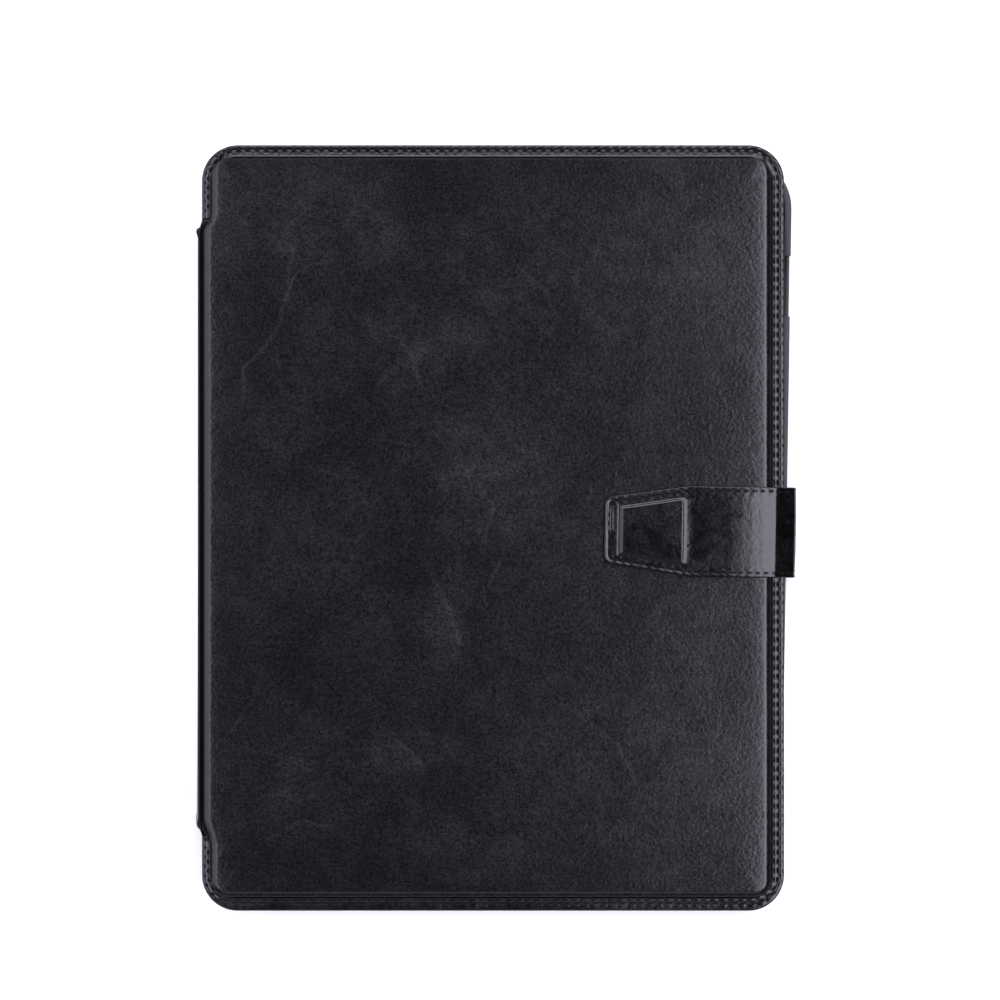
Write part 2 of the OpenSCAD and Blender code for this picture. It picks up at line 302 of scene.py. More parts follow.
def thread(name):
    n = Nodes(name)
    f = n.noise(2200, 3, 0.7)
    g = n.noise(350, 2, 0.5)
    n.bump(f, 0.00006, 0.6)
    return n.done(n.mix(g, (0.0010, 0.0010, 0.0014), (0.0032, 0.0032, 0.0040)), n.span(f, 0.3, 0.7, 0.52, 0.70),
                  Specular_IOR_Level=0.18)


def microfibre(name, source="rest", tone=1.0):
    n = Nodes(name, source)
    nap = n.noise(1500, 4, 0.7)
    brushed = n.noise(1.0, 3, 0.6, 0.6, n.stretch(60, 190, 90, 0.5))
    cloud = n.noise(30, 3, 0.6, 0.4)
    c = n.math("ADD", n.math("MULTIPLY", brushed, 0.6), n.math("MULTIPLY", cloud, 0.4))
    base = n.mix(n.span(c, 0.35, 0.65), (0.030 * tone, 0.031 * tone, 0.036 * tone), (0.052 * tone, 0.053 * tone, 0.060 * tone))
    base = n.mix(n.span(nap, 0.3, 0.75, 0.0, 0.5), base, (0.075 * tone, 0.076 * tone, 0.084 * tone))
    n.bump(nap, 0.00018, 0.7)
    n.bump(brushed, 0.0003, 0.3)
    return n.done(base, n.span(nap, 0.3, 0.7, 0.82, 0.97), Sheen_Weight=0.35, Sheen_Roughness=0.5, Specular_IOR_Level=0.25)


def plastic(name, source="rest"):
    n = Nodes(name, source)
    tex = n.noise(1300, 2, 0.5)
    spark = n.voronoi(1500, "F1")
    wear = n.noise(45, 4, 0.65, 0.6)
    base = n.mix(n.span(wear, 0.35, 0.7), (0.020, 0.020, 0.023), (0.032, 0.032, 0.036))
    n.bump(n.math("ADD", tex, n.math("MULTIPLY", spark, 0.5)), 0.00005, 0.5)
    return n.done(base, n.span(n.math("ADD", wear, n.math("MULTIPLY", tex, 0.2)), 0.4, 0.8, 0.42, 0.56), Specular_IOR_Level=0.5)


def board(name, a, b, source="object"):
    n = Nodes(name, source)
    f = n.noise(1.0, 5, 0.65, 0.3, n.stretch(300, 900, 500))
    g = n.noise(160, 3, 0.6)
    n.bump(f, 0.0001, 0.6)
    return n.done(n.mix(n.math("ADD", n.math("MULTIPLY", f, 0.6), n.math("MULTIPLY", g, 0.4)), a, b), n.span(f, 0.3, 0.7, 0.75, 0.92))


def foam(name, source="object"):
    n = Nodes(name, source)
    cell = n.voronoi(900, "F1")
    g = n.noise(200, 3, 0.6)
    n.bump(cell, 0.0003, 0.8)
    return n.done(n.mix(n.math("MULTIPLY", cell, 1.2, clamp=True), (0.03, 0.03, 0.032), (0.085, 0.085, 0.09)), n.span(g, 0.3, 0.7, 0.85, 0.98))


def film(name, source="object"):
    n = Nodes(name, source)
    f = n.noise(120, 4, 0.6, 0.5)
    g = n.noise(1100, 2, 0.5)
    n.bump(f, 0.0001, 0.4)
    return n.done(n.mix(f, (0.42, 0.41, 0.36), (0.55, 0.54, 0.49)), n.span(g, 0.3, 0.7, 0.35, 0.55))


def metal(name, a, b, rough, source="object"):
    n = Nodes(name, source)
    brush = n.noise(1.0, 4, 0.6, 0.0, n.stretch(200, 3000, 500))
    spot = n.noise(90, 4, 0.6, 0.6)
    n.bump(brush, 0.00003, 0.5)
    return n.done(n.mix(spot, a, b), n.span(brush, 0.3, 0.7, rough - 0.06, rough + 0.1), Metallic=1.0)


# M_PANEL and M_LEATHER are darkened by painted shade wherever their painted-shade attribute is set
M_PANEL = leather("leather_panel", smudges=True, cavity=True)
M_LEATHER = leather("leather_smooth", light=0.6, gloss=0.02, cavity=True)
M_BACK = leather("leather_back", light=0.7)
M_STRAP = leather("leather_strap", gloss=0.07, light=0.45, veins=0.5, relief=0.7)
M_EDGE = edge_paint("edge_paint")
M_THREAD = thread("bonded_thread")
M_LINING = microfibre("microfibre")
M_STRAP_LINING = microfibre("microfibre_strap", tone=0.8)
M_TRAY = plastic("tray_plastic")

# ---------------------------------------------------------------- outline of a rounded rectangle, as columns
def columns(w, l, r, y_gap, step):
    """Points on the outline from the left side at +y_gap, clockwise round to -y_gap: point, outward normal."""
    pts, nrm = [], []
    def line(a, b, n):
        k = max(2, int(round(math.dist(a, b) / step)))
        for q in range(k):
            u = q / k
            pts.append((a[0] + (b[0] - a[0]) * u, a[1] + (b[1] - a[1]) * u))
            nrm.append(n)
    def arc(cx, cy, a0, a1):
        k = max(8, int(round(r * math.pi / 2 / step)))
        for q in range(k):
            a = math.radians(a0 + (a1 - a0) * q / k)
            pts.append((cx + r * math.cos(a), cy + r * math.sin(a)))
            nrm.append((math.cos(a), math.sin(a)))
    x, y = w / 2, l / 2
    line((-x, y_gap), (-x, y - r), (-1, 0))
    arc(-x + r, y - r, 180, 90)
    line((-x + r, y), (x - r, y), (0, 1))
    arc(x - r, y - r, 90, 0)
    line((x, y - r), (x, -y + r), (1, 0))
    arc(x - r, -y + r, 0, -90)
    line((x - r, -y), (-x + r, -y), (0, -1))
    arc(-x + r, -y + r, 270, 180)
    line((-x, -y + r), (-x, -y_gap), (-1, 0))
    pts.append((-x, -y_gap))
    nrm.append((-1, 0))
    return np.array(pts, float), np.array(nrm, float)


def by_side(n, left, right, top, bottom):
    nx, ny = n[..., 0], n[..., 1]
    return nx ** 2 * np.where(nx > 0, right, left) + ny ** 2 * np.where(ny > 0, top, bottom)


def seam_path(pts, nrm, inset):
    p = pts - nrm * inset[:, None]
    s = np.concatenate([[0], np.cumsum(np.linalg.norm(np.diff(p, axis=0), axis=1))])
    return p, s


PITCH = 3.5


def pucker(delta, s, pitch=PITCH, first=0.0, depth=1.0, inner=1.0):
    """Height of leather round a seam: a pressed channel, a hole at each stitch end, and pillows between."""
    ph = (s - first) / pitch
    f = ph - np.floor(ph)
    hole = np.minimum(f, 1 - f) * pitch
    h = -0.28 * np.exp(-(delta / 0.52) ** 2) * (0.30 + 0.70 * np.sin(np.pi * f) ** 2)
    h = h - 0.05 * np.exp(-((hole / 0.5) ** 2) - (delta / 0.42) ** 2)
    h = h + 0.13 * np.sin(np.pi * f) ** 2 * np.exp(-(((np.abs(delta) - 1.05) / 0.5) ** 2)) * np.where(delta > 0, inner, 1.0)
    h = h - 0.05 * np.exp(-((hole / 0.8) ** 2)) * np.exp(-((delta / 1.5) ** 2))
    return h * depth


def threads(name, runs, material, radius=0.33, sides=8, rings=9, gap=0.80):
    """Every stitch is its own short length of two-ply thread that dives into a hole at both ends.
    runs: (A, B, U) arrays of the holes before and after each stitch and the way up, in mm."""
    verts, faces, base = [], [], 0
    for A, B, U in runs:
        for a, b, u in zip(A, B, U):
            t = b - a
            ln = np.linalg.norm(t)
            t = t / ln
            u = u - t * (u @ t)
            u = u / np.linalg.norm(u)
            w = np.cross(t, u)
            for k in range(rings):
                q = k / (rings - 1)
                along = gap * 0.55 + (ln - gap * 1.1) * q
                rise = 0.20 * math.sin(math.pi * q) ** 0.6 - 0.31
                r = radius * (0.62 + 0.38 * math.sin(math.pi * q) ** 0.5)
                for j in range(sides):
                    th = 2 * math.pi * j / sides
                    rr = r * (1 + 0.13 * math.cos(2 * th - q * 13.0))
                    verts.append(a + t * along + u * (rise + rr * 0.85 * math.sin(th)) + w * rr * math.cos(th))
            faces += grid_faces(rings, sides, False, True, base)
            faces.append([base + j for j in range(sides)][::-1])
            faces.append([base + (rings - 1) * sides + j for j in range(sides)])
            base += rings * sides
    return make(name, np.array(verts), faces, material)


def stitches(p, s, place, up, pitch=PITCH, first=0.0, ends=0.0, lift=0.0):
    """Holes along a seam path, as pairs for threads(); place maps plan points to the frame.
    ends is the length without stitches at both ends of the path."""
    n = int((s[-1] - first) / pitch)
    at = first + pitch * np.arange(n + 1)
    x, y = np.interp(at, s, p[:, 0]), np.interp(at, s, p[:, 1])
    q = place(x, y, lift)
    u = np.tile(np.array(up, float), (n, 1))
    keep = (at[:-1] >= ends) & (at[1:] <= s[-1] - ends)
    return q[:-1][keep], q[1:][keep], u[keep]


# ---------------------------------------------------------------- hinge strip shared rows
def hinge_m(y):
    """0 on the plain border, 1 in the hinge zone, with a slower change at the lower end."""
    return np.where(y > 0, sm((119.0 - np.abs(y)) / 7.0), sm((121.0 - np.abs(y)) / 12.0))


ys = np.concatenate([np.linspace(-HINGE_Y, -106, 30), np.linspace(-105, 105, 176), np.linspace(106, HINGE_Y, 30)])


def end_pull(y, target):
    """Moves a row's ends in from the hinge's full length to the target length."""
    return y + np.sign(y) * (target - HINGE_Y) * sm((np.abs(y) - 100) / (HINGE_Y - 100))


def nib(s):
    a = np.abs(s)
    return np.where(s > 0, 0.62, 0.36) * np.exp(-(((a - 112.2) / 1.5) ** 2))


def spine_off(t, s):
    """Outer face of the spine leather: a soft outward belly between the two creases."""
    return -0.55 - 0.34 * np.sin(np.pi * np.clip(t, 0, 1)) ** 0.8 - nib(s) * (0.55 + 0.45 * sm(np.abs(t - 0.5) * 2.2)) \
        - 0.05 * (vnoise(s, t * 13, 9.0, 5) - 0.5)


def hinge_strip(place, height, d_tuck, crease, t0, sign):
    """Closed section, one loop for each y: border under the panel's edge, crease, half of the spine, and back inside.
    sign, +1 on the front cover (height up) and -1 on the back (height down), is not used."""
    loops = []
    n1, n2, n3 = 12, 8, 15
    tuck = d_tuck(ys)
    for q in np.linspace(0, 1, n1):           # from under the panel out to the outline
        d = tuck * (1 - q)
        loops.append(place(-1.0, d, ys, height(d, ys)))
    for q in np.linspace(0, 1, 5)[1:]:        # past the outline, to the crease
        d = np.full_like(ys, -crease * q)
        target = SPINE_END + (HINGE_Y - SPINE_END) * (1 - q * 0.75) ** 2
        y2 = end_pull(ys, target)
        loops.append(place(-1.0, d, y2, height(d, ys)))
    for q in np.linspace(0, 1, n2)[1:-1]:     # round the crease
        a = math.pi / 2 * q
        d = np.full_like(ys, -crease - 0.55 * math.sin(a))
        y2 = end_pull(ys, SPINE_END)
        top = height(np.full_like(ys, -crease), ys)
        loops.append(place(-1.0, d - nib(y2) * q, y2, top - 0.55 * (1 - math.cos(a))))
    y2 = end_pull(ys, SPINE_END)
    for q in np.linspace(0, 1, n3):
        t = t0 + (0.5 - t0) * q
        loops.append(spine_pt(t, y2, spine_off(t, y2)))
    for q in np.linspace(1, 0.10, 8):
        t = t0 + (0.5 - t0) * q
        loops.append(spine_pt(t, y2, np.full_like(y2, 0.42)))
    for d in (-crease + 0.75, 0.6):
        loops.append(place(-1.0, np.full_like(ys, d), y2 if d < 0 else ys, np.full_like(ys, -1.06)))
    loops.append(place(-1.0, tuck, ys, np.full_like(ys, -1.06)))
    return np.stack(loops, 1)


def hinge_painted_shade(H):
    """Painted shade on the hinge strip: full beside the crease, half on the spine's outer face, easing off at both
    ends.
    """
    n, m = H.shape[:2]
    along = np.concatenate([np.full(21, 0.95), np.full(m - 21, 0.5)])[None]
    return (along * (0.25 + 0.75 * sm((HINGE_Y + 0.2 - np.abs(ys)) / 2.0))[:, None]).ravel()


def add_capped(parts, P):
    """Adds a swept closed section with its end caps to (verts, faces)."""
    verts, faces = parts
    base = sum(len(v) for v in verts)
    n, m = P.shape[:2]
    verts.append(P.reshape(-1, 3))
    faces += grid_faces(n, m, False, True, base)
    faces.append([base + j for j in range(m)][::-1])
    faces.append([base + (n - 1) * m + j for j in range(m)])


# ---------------------------------------------------------------- front cover: stitched border and upper half of the spine
F_SEAM = dict(left=2.3, right=2.2, top=1.75, bottom=3.0)
F_PANEL = dict(left=3.5, right=4.8, top=4.9, bottom=5.0)
HINGE_STEP = 2.8      # how much further out the panel reaches beside the hinge


def f_border_h(d, nrm, s, ds, dg, sewn=1.0):
    """Height of the front border over its flat level, at inset d."""
    h = pucker(d - ds, s, inner=1 - 0.8 * nrm[..., 1].clip(0, 1) ** 2) * sewn * (1 - 0.45 * (-nrm[..., 1]).clip(0, 1) ** 2)
    top = nrm[..., 1].clip(0, 1) ** 2
    ramp = np.clip((d - ds - 0.40) / np.maximum(dg - ds - 0.75, 0.5), 0, 1)
    rise = 0.75 * ramp + 0.25 * sm(ramp)
    h = h + (1.10 * top + 0.08 * (1 - top)) * rise
    h = h - (0.30 + 0.45 * top) * sm((d - dg + 0.50 - 0.15 * top) / 0.6)
    nx, ny = nrm[..., 0], nrm[..., 1]
    drop = nx ** 2 * np.where(nx > 0, 0.27, 0.14) + ny ** 2 * np.where(ny > 0, 0.07, 0.10)
    h = h - drop * np.clip(1 - d / 1.35, 0, 1) ** 2
    return h


def front_place(_, d, y, h):
    return on_cover(-CW / 2 + d, y, BORDER_Z + h)


def front_hinge_h(d, y):
    """Height of the front leather beside the hinge, at inset d from the outline."""
    m = hinge_m(y)
    one = np.ones_like(d)
    plain = f_border_h(d, np.stack([-one, 0 * one], -1), 0 * d + PITCH / 2, F_SEAM["left"], F_PANEL["left"] - HINGE_STEP * m, 0.0)
    hinge = -0.95 * sm((d + 0.80) / 0.95) + 0.03 * (vnoise(y, d, 6.0, 3) - 0.5)
    return plain * (1 - m) + hinge * m


pts, nrm = columns(CW, CL, CR, HINGE_Y, 0.5)
ds = by_side(nrm, **F_SEAM)
dg = by_side(nrm, **F_PANEL)
on_left = nrm[:, 0] < -0.999
dg = np.where(on_left, F_PANEL["left"] - HINGE_STEP * hinge_m(pts[:, 1]), dg)
seam_p, seam_s = seam_path(pts, nrm, ds)
m_col = np.where(on_left, hinge_m(pts[:, 1]), 0.0)
sewn = 1 - sm(m_col / 0.2)


def ribbon_h(d):
    h = f_border_h(d, nrm, seam_s, ds, dg, sewn)
    hinge = front_hinge_h(d, pts[:, 1])
    k = sm((m_col - 0.1) / 0.15)
    return h * (1 - k) + hinge * k


RIM = [(0.42, -0.09), (0.20, -0.18), (0.06, -0.30), (0.0, -0.45), (0.0, -0.68), (0.07, -0.90), (0.22, -1.03), (0.5, -1.07)]
rows = []
for q in np.linspace(0, 1, 17):              # panel's edge to the seam
    d = (dg + 0.45) * (1 - q) + ds * q
    rows.append((d, ribbon_h(d)))
for q in np.linspace(0, 1, 11)[1:]:          # seam to the rim
    d = ds * (1 - q) + 0.62 * q
    rows.append((d, ribbon_h(d)))
for rd, rh in RIM:
    rows.append((np.full(len(pts), rd), np.full(len(pts), rh) - 0.03 * (vnoise(pts[:, 0], pts[:, 1], 5.0, 11) - 0.5)))
rows.append((dg + 0.45, np.full(len(pts), -1.07)))
P = np.stack([on_cover(pts[:, 0] - nrm[:, 0] * d, pts[:, 1] - nrm[:, 1] * d, BORDER_Z + h) for d, h in rows], 1)
parts = ([], [])
add_capped(parts, P)


def painted_shade_at(d, seam, groove, m):
    """Painted shade weight for a place: the seam's channel, the groove at the panel and the whole hinge zone are
    darkened.
    """
    c = 0.25 * np.exp(-(((d - seam) / 0.5) ** 2)) * (1 - m) + 0.95 * np.exp(-(((d - groove) / 0.42) ** 2))
    return np.clip(np.maximum(c, 0.95 * m), 0, 1)


# painted shade for the front border's rows, then for its hinge strip
painted_shade_rows = [painted_shade_at(d, ds, dg, sm((m_col - 0.1) / 0.3)) for d, h in rows]
H = hinge_strip(front_place, front_hinge_h, lambda y: F_PANEL["left"] - HINGE_STEP * hinge_m(y) + 0.45, 1.0, 1.0, 1)
add_capped(parts, H)
cav = np.concatenate([np.stack(painted_shade_rows, 1).ravel(), hinge_painted_shade(H)])
front_border = make("front_border_and_hinge", np.concatenate(parts[0]), parts[1], M_LEATHER, {"cavity": cav})
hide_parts("front_leather")

# ---------------------------------------------------------------- front cover: padded panel
PX0, PX1 = -CW / 2 + F_PANEL["left"], CW / 2 - F_PANEL["right"]
PY0, PY1 = -CL / 2 + F_PANEL["bottom"], CL / 2 - F_PANEL["top"]


def graded(lo, hi, fine, step):
    a = lo + np.array(fine)
    b = hi - np.array(fine)[::-1]
    k = int(round((b[0] - a[-1]) / step))
    return np.concatenate([a, np.linspace(a[-1], b[0], k + 1)[1:-1], b])


def concentric(xs, y_s, w, l, r, cx, cy):
    """Maps a rectangular grid onto a rounded rectangle; returns x, y, inset and outward normal."""
    X, Y = np.meshgrid(xs, y_s, indexing="ij")
    ax, ay = w / 2 - np.abs(X - cx), l / 2 - np.abs(Y - cy)
    d, o = np.minimum(ax, ay), np.maximum(ax, ay)
    sx, sy = np.sign(X - cx), np.sign(Y - cy)
    corner = o < r
    ang = np.where(corner, (np.pi / 4) * (r - o) / np.maximum(r - d, 1e-6), 0.0)
    side_x = ax <= ay
    ca, sa = np.cos(ang), np.sin(ang)
    nx, ny = np.where(side_x, ca, sa) * sx, np.where(side_x, sa, ca) * sy
    rr = r - d
    Xc, Yc = cx + sx * (w / 2 - r) + rr * nx, cy + sy * (l / 2 - r) + rr * ny
    X2, Y2 = np.where(corner, Xc, X), np.where(corner, Yc, Y)
    nx = np.where(corner, nx, np.where(side_x, sx, 0.0))
    ny = np.where(corner, ny, np.where(side_x, 0.0, sy))
    return X2, Y2, d, np.stack([nx, ny], -1)


FINE = [0, 0.10, 0.24, 0.42, 0.64, 0.90, 1.2, 1.55, 1.95, 2.4, 2.95, 3.6, 4.4, 5.4, 6.5]
xs = graded(PX0, PX1, FINE, 0.68)
yv = graded(PY0, PY1, FINE, 0.68)
X, Y, g, n2 = concentric(xs, yv, PX1 - PX0, PY1 - PY0, 6.6, (PX0 + PX1) / 2, (PY0 + PY1) / 2)
roll = by_side(n2, 2.5, 2.7, 0.30, 3.2)
tail = by_side(n2, 0.55, 0.42, 0.02, 0.05) * np.exp(-g / 3.4)
u = np.clip(g / roll, 0, 1)
soft = by_side(n2, 0.9, 0.35, 0.0, 0.0)       # how far the roll leans from a quarter round to a plain slope
u1 = np.clip(g / 0.35, 0, 1)
rise = soft * (0.42 * np.sqrt(1 - (1 - u1) ** 2) + 0.58 * (1 - (1 - u) ** 2.6)) + (1 - soft) * np.sqrt(np.clip(1 - (1 - u) ** 2, 0, 1))
low = 13.55 + 0.12 * soft
gl = X - PX0
crown = 0.13 * sm(g / 30.0)
wave = 0.055 * (vnoise(X, Y, 26, 21) - 0.5) + 0.035 * (vnoise(X + 0.3 * Y, Y, 9.5, 22) - 0.5)


XA = X + 2.2 * (vnoise(X, Y, 6.5, 61) - 0.5) + 0.7 * (vnoise(X, Y, 2.2, 62) - 0.5)
YA = Y + 2.2 * (vnoise(X, Y, 6.5, 63) - 0.5) + 0.7 * (vnoise(X, Y, 2.2, 64) - 0.5)


def crease_line(points, depth, width):
    """A faint wrinkle along a polyline: a small valley in the padded leather."""
    out = np.zeros_like(X)
    for (x0, y0), (x1, y1) in zip(points[:-1], points[1:]):
        dx, dy = x1 - x0, y1 - y0
        L = math.hypot(dx, dy)
        t = np.clip(((XA - x0) * dx + (YA - y0) * dy) / L ** 2, 0, 1)
        dist = np.hypot(XA - x0 - t * dx, YA - y0 - t * dy)
        out = np.maximum(out, np.exp(-((dist / width) ** 2)))
    return -depth * out


WRINKLES = [  # polylines on the panel in mm, depth, width
    ([(-76.1, 106.0), (-77.2, 94.6), (-78.7, 86.3), (-81.4, 76.9), (-86.7, 68.1), (-93.5, 61.3), (-94.6, 53.0)], 0.07, 0.9),
    ([(-78.7, 92.4), (-73.1, 96.9), (-66.3, 100.0), (-60.2, 100.7)], 0.05, 0.9),
    ([(-36.0, 79.5), (-33.7, 71.2), (-30.7, 64.4), (-28.4, 54.5)], 0.07, 1.0),
    ([(-33.7, 63.6), (-38.2, 59.1), (-44.3, 53.8)], 0.05, 0.9),
    ([(-24.6, -12.1), (-20.1, -23.5), (-15.5, -31.8), (-11.7, -42.4)], 0.05, 1.2),
    ([(1.9, -12.1), (-3.4, -25.7), (-1.9, -35.6)], 0.05, 1.1),
    ([(-36.7, -79.5), (-32.2, -84.8), (-26.9, -90.9)], 0.06, 1.2),
    ([(-53.4, -60.6), (-49.6, -56.0), (-48.1, -59.1)], 0.07, 0.8),
    ([(-73.1, 25.0), (-64.7, 22.0), (-57.9, 17.4)], 0.04, 1.0),
    ([(10.2, 98.4), (20.8, 89.3), (25.4, 79.5)], 0.04, 1.2),
    ([(-8.7, 22.0), (-0.4, 7.6), (-2.7, -4.5)], 0.04, 1.2),
    ([(-98.8, -76.5), (-91.2, -65.1), (-87.5, -51.5)], 0.04, 1.0),
    ([(36.7, -72.7), (47.3, -81.0), (55.7, -95.4)], 0.04, 1.1),
    ([(-85.2, -118.1), (-73.1, -111.3), (-61.7, -112.1)], 0.04, 1.0),
]
veins = np.zeros_like(X)
for line_pts, dep, wid in WRINKLES:
    wave = wave + crease_line(line_pts, dep, wid * 0.8)
    veins = np.maximum(veins, -crease_line(line_pts, dep / 0.07, wid * 0.5))
Z = low + (PANEL_Z - low) * rise + (crown + wave * sm(g / 3.0)) - tail * sm(g / 1.2)
SHEEN_SPOTS = [  # painted sheen: lighter places painted into the leather's colour: centre, half size in mm, strength
    (-73, 120, 42, 23, 0.32), (-1, 79, 17, 17, 0.30), (-33, 67, 13, 17, 0.26), (-62, 60, 19, 27, 0.14), (-9, 22, 23, 27, 0.26),
    (-35, -86, 14, 11, 0.38), (-17, -32, 8, 17, 0.36), (18, 3, 27, 23, 0.18), (-24, -58, 30, 19, 0.16), (-81, -95, 27, 23, 0.20),
    (25, 109, 57, 19, 0.16), (48, 56, 30, 30, 0.10), (48, -88, 42, 38, 0.16), (-92, -5, 14, 57, 0.14), (-62, -12, 23, 27, 0.14),
    (75, 86, 23, 45, 0.16), (78, -65, 23, 53, 0.16), (10, -122, 61, 11, 0.14),
]
smudge = np.zeros_like(X)
wob = 6 * (vnoise(X, Y, 14, 31) - 0.5)
wob2 = 6 * (vnoise(X, Y, 11, 32) - 0.5)
for x0, y0, sx_, sy_, k in SHEEN_SPOTS:
    smudge = smudge + k * np.exp(-(((X + wob - x0) / sx_) ** 2) - ((Y + wob2 - y0) / sy_) ** 2)
smudge = smudge * (0.35 + 0.9 * vnoise(X, Y, 9.5, 33) + 1.1 * vnoise(X + 0.4 * Y, Y, 4.1, 34) * vnoise(X, Y, 2.3, 35))
# painted highlights along the wrinkle lines
smudge = smudge + 0.62 * np.clip(veins, 0, 1) * (0.25 + 0.9 * vnoise(X, Y, 7, 36))
# painted shade along the panel's edge, strongest at the top where the top light catches the roll
panel_edge_painted_shade = by_side(n2, 0.35, 0.35, 0.95, 0.6) * np.exp(-((g / 0.75) ** 2))
m_h = hinge_m(Y)
Xw = X - HINGE_STEP * m_h * np.exp(-((np.clip(gl, 0, 60) / 6.5) ** 2))
P = on_cover(Xw, Y, Z)
ni, nj = X.shape
verts = P.reshape(-1, 3)
faces = grid_faces(ni, nj)
idx = np.arange(ni * nj).reshape(ni, nj)
ring = list(idx[:, 0]) + list(idx[-1, 1:]) + list(idx[-2::-1, -1]) + list(idx[0, -2:0:-1])
rp = verts[ring]
low_ring = rp.copy()
low_ring[:, 2] = 13.15
base = len(verts)
verts = np.concatenate([verts, low_ring])
k = len(ring)
faces += [[ring[a], base + a, base + (a + 1) % k, ring[(a + 1) % k]] for a in range(k)]
faces.append([base + a for a in range(k)])
# the panel's side wall gets full painted shade
front_panel = make("front_panel", verts, faces, M_PANEL, 
                   {"smudge": np.concatenate([smudge.ravel(), np.zeros(k)]), "cavity": np.concatenate([panel_edge_painted_shade.ravel(), np.ones(k)])})
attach(front_panel, "front_cover")
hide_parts("front_foam")

front_thread = threads("front_stitches", [stitches(seam_p, seam_s, lambda x, y, h: on_cover(x, y, BORDER_Z - 0.02 + h + 0 * x), (0, 0, 1), ends=1.2)], M_THREAD)
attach(front_thread, "front_cover")
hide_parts("front_stitching")

# ---------------------------------------------------------------- back: leather panel, stitched border, lower half of the spine
B_BORDER = 0.40


def b_border_h(d, s, ds, dg, sewn=1.0):
    return pucker(d - ds, s) * sewn - 0.16 * sm((d - dg + 0.7) / 0.9) - 0.05 * sm((0.9 - d) / 0.9)


def back_place(_, d, y, h):
    return on_back(-BW / 2 + d, y, B_BORDER - h)


def back_hinge_h(d, y):
    m = sm((119.0 - np.abs(y)) / 6.0)
    plain = b_border_h(d, 0 * d + PITCH / 2, 2.4, 4.2, 0.0)
    hinge = -0.12 * sm((d + 1.2) / 1.6) + 0.05 * (vnoise(y, d, 7.0, 13) - 0.5)
    return plain * (1 - m) + hinge * m


pts_b, nrm_b = columns(BW, BL, BR, HINGE_Y, 0.5)
ds_b, dg_b = np.full(len(pts_b), 2.4), np.full(len(pts_b), 4.2)
seam_pb, seam_sb = seam_path(pts_b, nrm_b, ds_b)
left_b = nrm_b[:, 0] < -0.999
m_b = np.where(left_b, sm((119.0 - np.abs(pts_b[:, 1])) / 6.0), 0.0)


def ribbon_b(d):
    h = b_border_h(d, seam_sb, ds_b, dg_b, 1 - sm(m_b / 0.2))
    k = sm((m_b - 0.1) / 0.15)
    return h * (1 - k) + back_hinge_h(d, pts_b[:, 1]) * k


rows = []
for q in np.linspace(0, 1, 13):
    d = (dg_b + 0.45) * (1 - q) + ds_b * q
    rows.append((d, ribbon_b(d)))
for q in np.linspace(0, 1, 10)[1:]:
    d = ds_b * (1 - q) + 0.62 * q
    rows.append((d, ribbon_b(d)))
for rd, rh in [(0.42, -0.03), (0.20, -0.08), (0.06, -0.20), (0.0, -0.36), (0.03, -0.56), (0.15, -0.70), (0.5, -0.76)]:
    rows.append((np.full(len(pts_b), rd), np.full(len(pts_b), rh)))
rows.append((dg_b + 0.45, np.full(len(pts_b), -0.76)))
P = np.stack([on_back(pts_b[:, 0] - nrm_b[:, 0] * d, pts_b[:, 1] - nrm_b[:, 1] * d, B_BORDER - h) for d, h in rows], 1)
parts = ([], [])
add_capped(parts, P)
H = hinge_strip(back_place, back_hinge_h, lambda y: np.full_like(y, 4.65), 1.6, 0.0, -1)
add_capped(parts, H)
# painted shade on the back only along the hinge strip, none on the border
cav = np.concatenate([np.zeros(P.shape[0] * P.shape[1]), hinge_painted_shade(H)])
back_border = make("back_border_and_hinge", np.concatenate(parts[0]), parts[1], M_LEATHER, {"cavity": cav})
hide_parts("spine_leather")

# the back's leather panel, with the camera window: grid lines pass round the window and are rounded at its corners
bx0, bx1, by0, by1 = -BW / 2 + 4.2, BW / 2 - 4.2, -BL / 2 + 4.2, BL / 2 - 4.2
wx, wy = CAMX - BX, CAMY
HALF, WR = 18.0, 6.0
NEAR = [0, 0.06, 0.16, 0.30, 0.48, 0.75, 1.1, 1.5, 1.85, 2.2, 2.5, 2.8, 3.15, 3.6, 4.3, 5.2, 6.4, 8.0, 9.5]


def hole_lines(lo, hi, c, fine, step):
    right = c + HALF + np.array([v for v in NEAR if c + HALF + v < hi - fine[-1] - 0.4])
    left = c - HALF - np.array([v for v in NEAR])[::-1]
    inner = np.linspace(c - HALF, c + HALF, 45)[1:-1]
    a = lo + np.array(fine)
    b = hi - np.array(fine)[::-1]
    m1 = np.linspace(a[-1], left[0], int((left[0] - a[-1]) / step) + 2)[1:-1]
    gap = b[0] - right[-1]
    m2 = np.linspace(right[-1], b[0], max(2, int(gap / step) + 2))[1:-1]
    return np.concatenate([a, m1, left, inner, right, m2, b])


FB = [0, 0.15, 0.35, 0.6, 0.9, 1.3, 1.8, 2.5, 3.4]
xb = hole_lines(bx0, bx1, wx, FB, 1.5)
yb = hole_lines(by0, by1, wy, FB, 1.5)
X, Y, g, n2 = concentric(xb, yb, bx1 - bx0, by1 - by0, BR - 4.2, 0.0, 0.0)
GX, GY = np.meshgrid(xb, yb, indexing="ij")
cheb = np.maximum(np.abs(GX - wx), np.abs(GY - wy))
rad = WR * np.clip(1 - (cheb - HALF) / 9.0, 0, 1)
ux, uy = np.abs(GX - wx), np.abs(GY - wy)
lowc = np.minimum(ux, uy)
in_corner = (lowc > cheb - rad) & (rad > 0) & (cheb >= HALF - 1e-6)
th = np.where(in_corner, (np.pi / 4) * (lowc - (cheb - rad)) / np.maximum(rad, 1e-6), 0)
big = cheb - rad + rad * np.cos(th)
sml = cheb - rad + rad * np.sin(th)
qx = np.where(ux >= uy, big, sml) * np.sign(GX - wx)
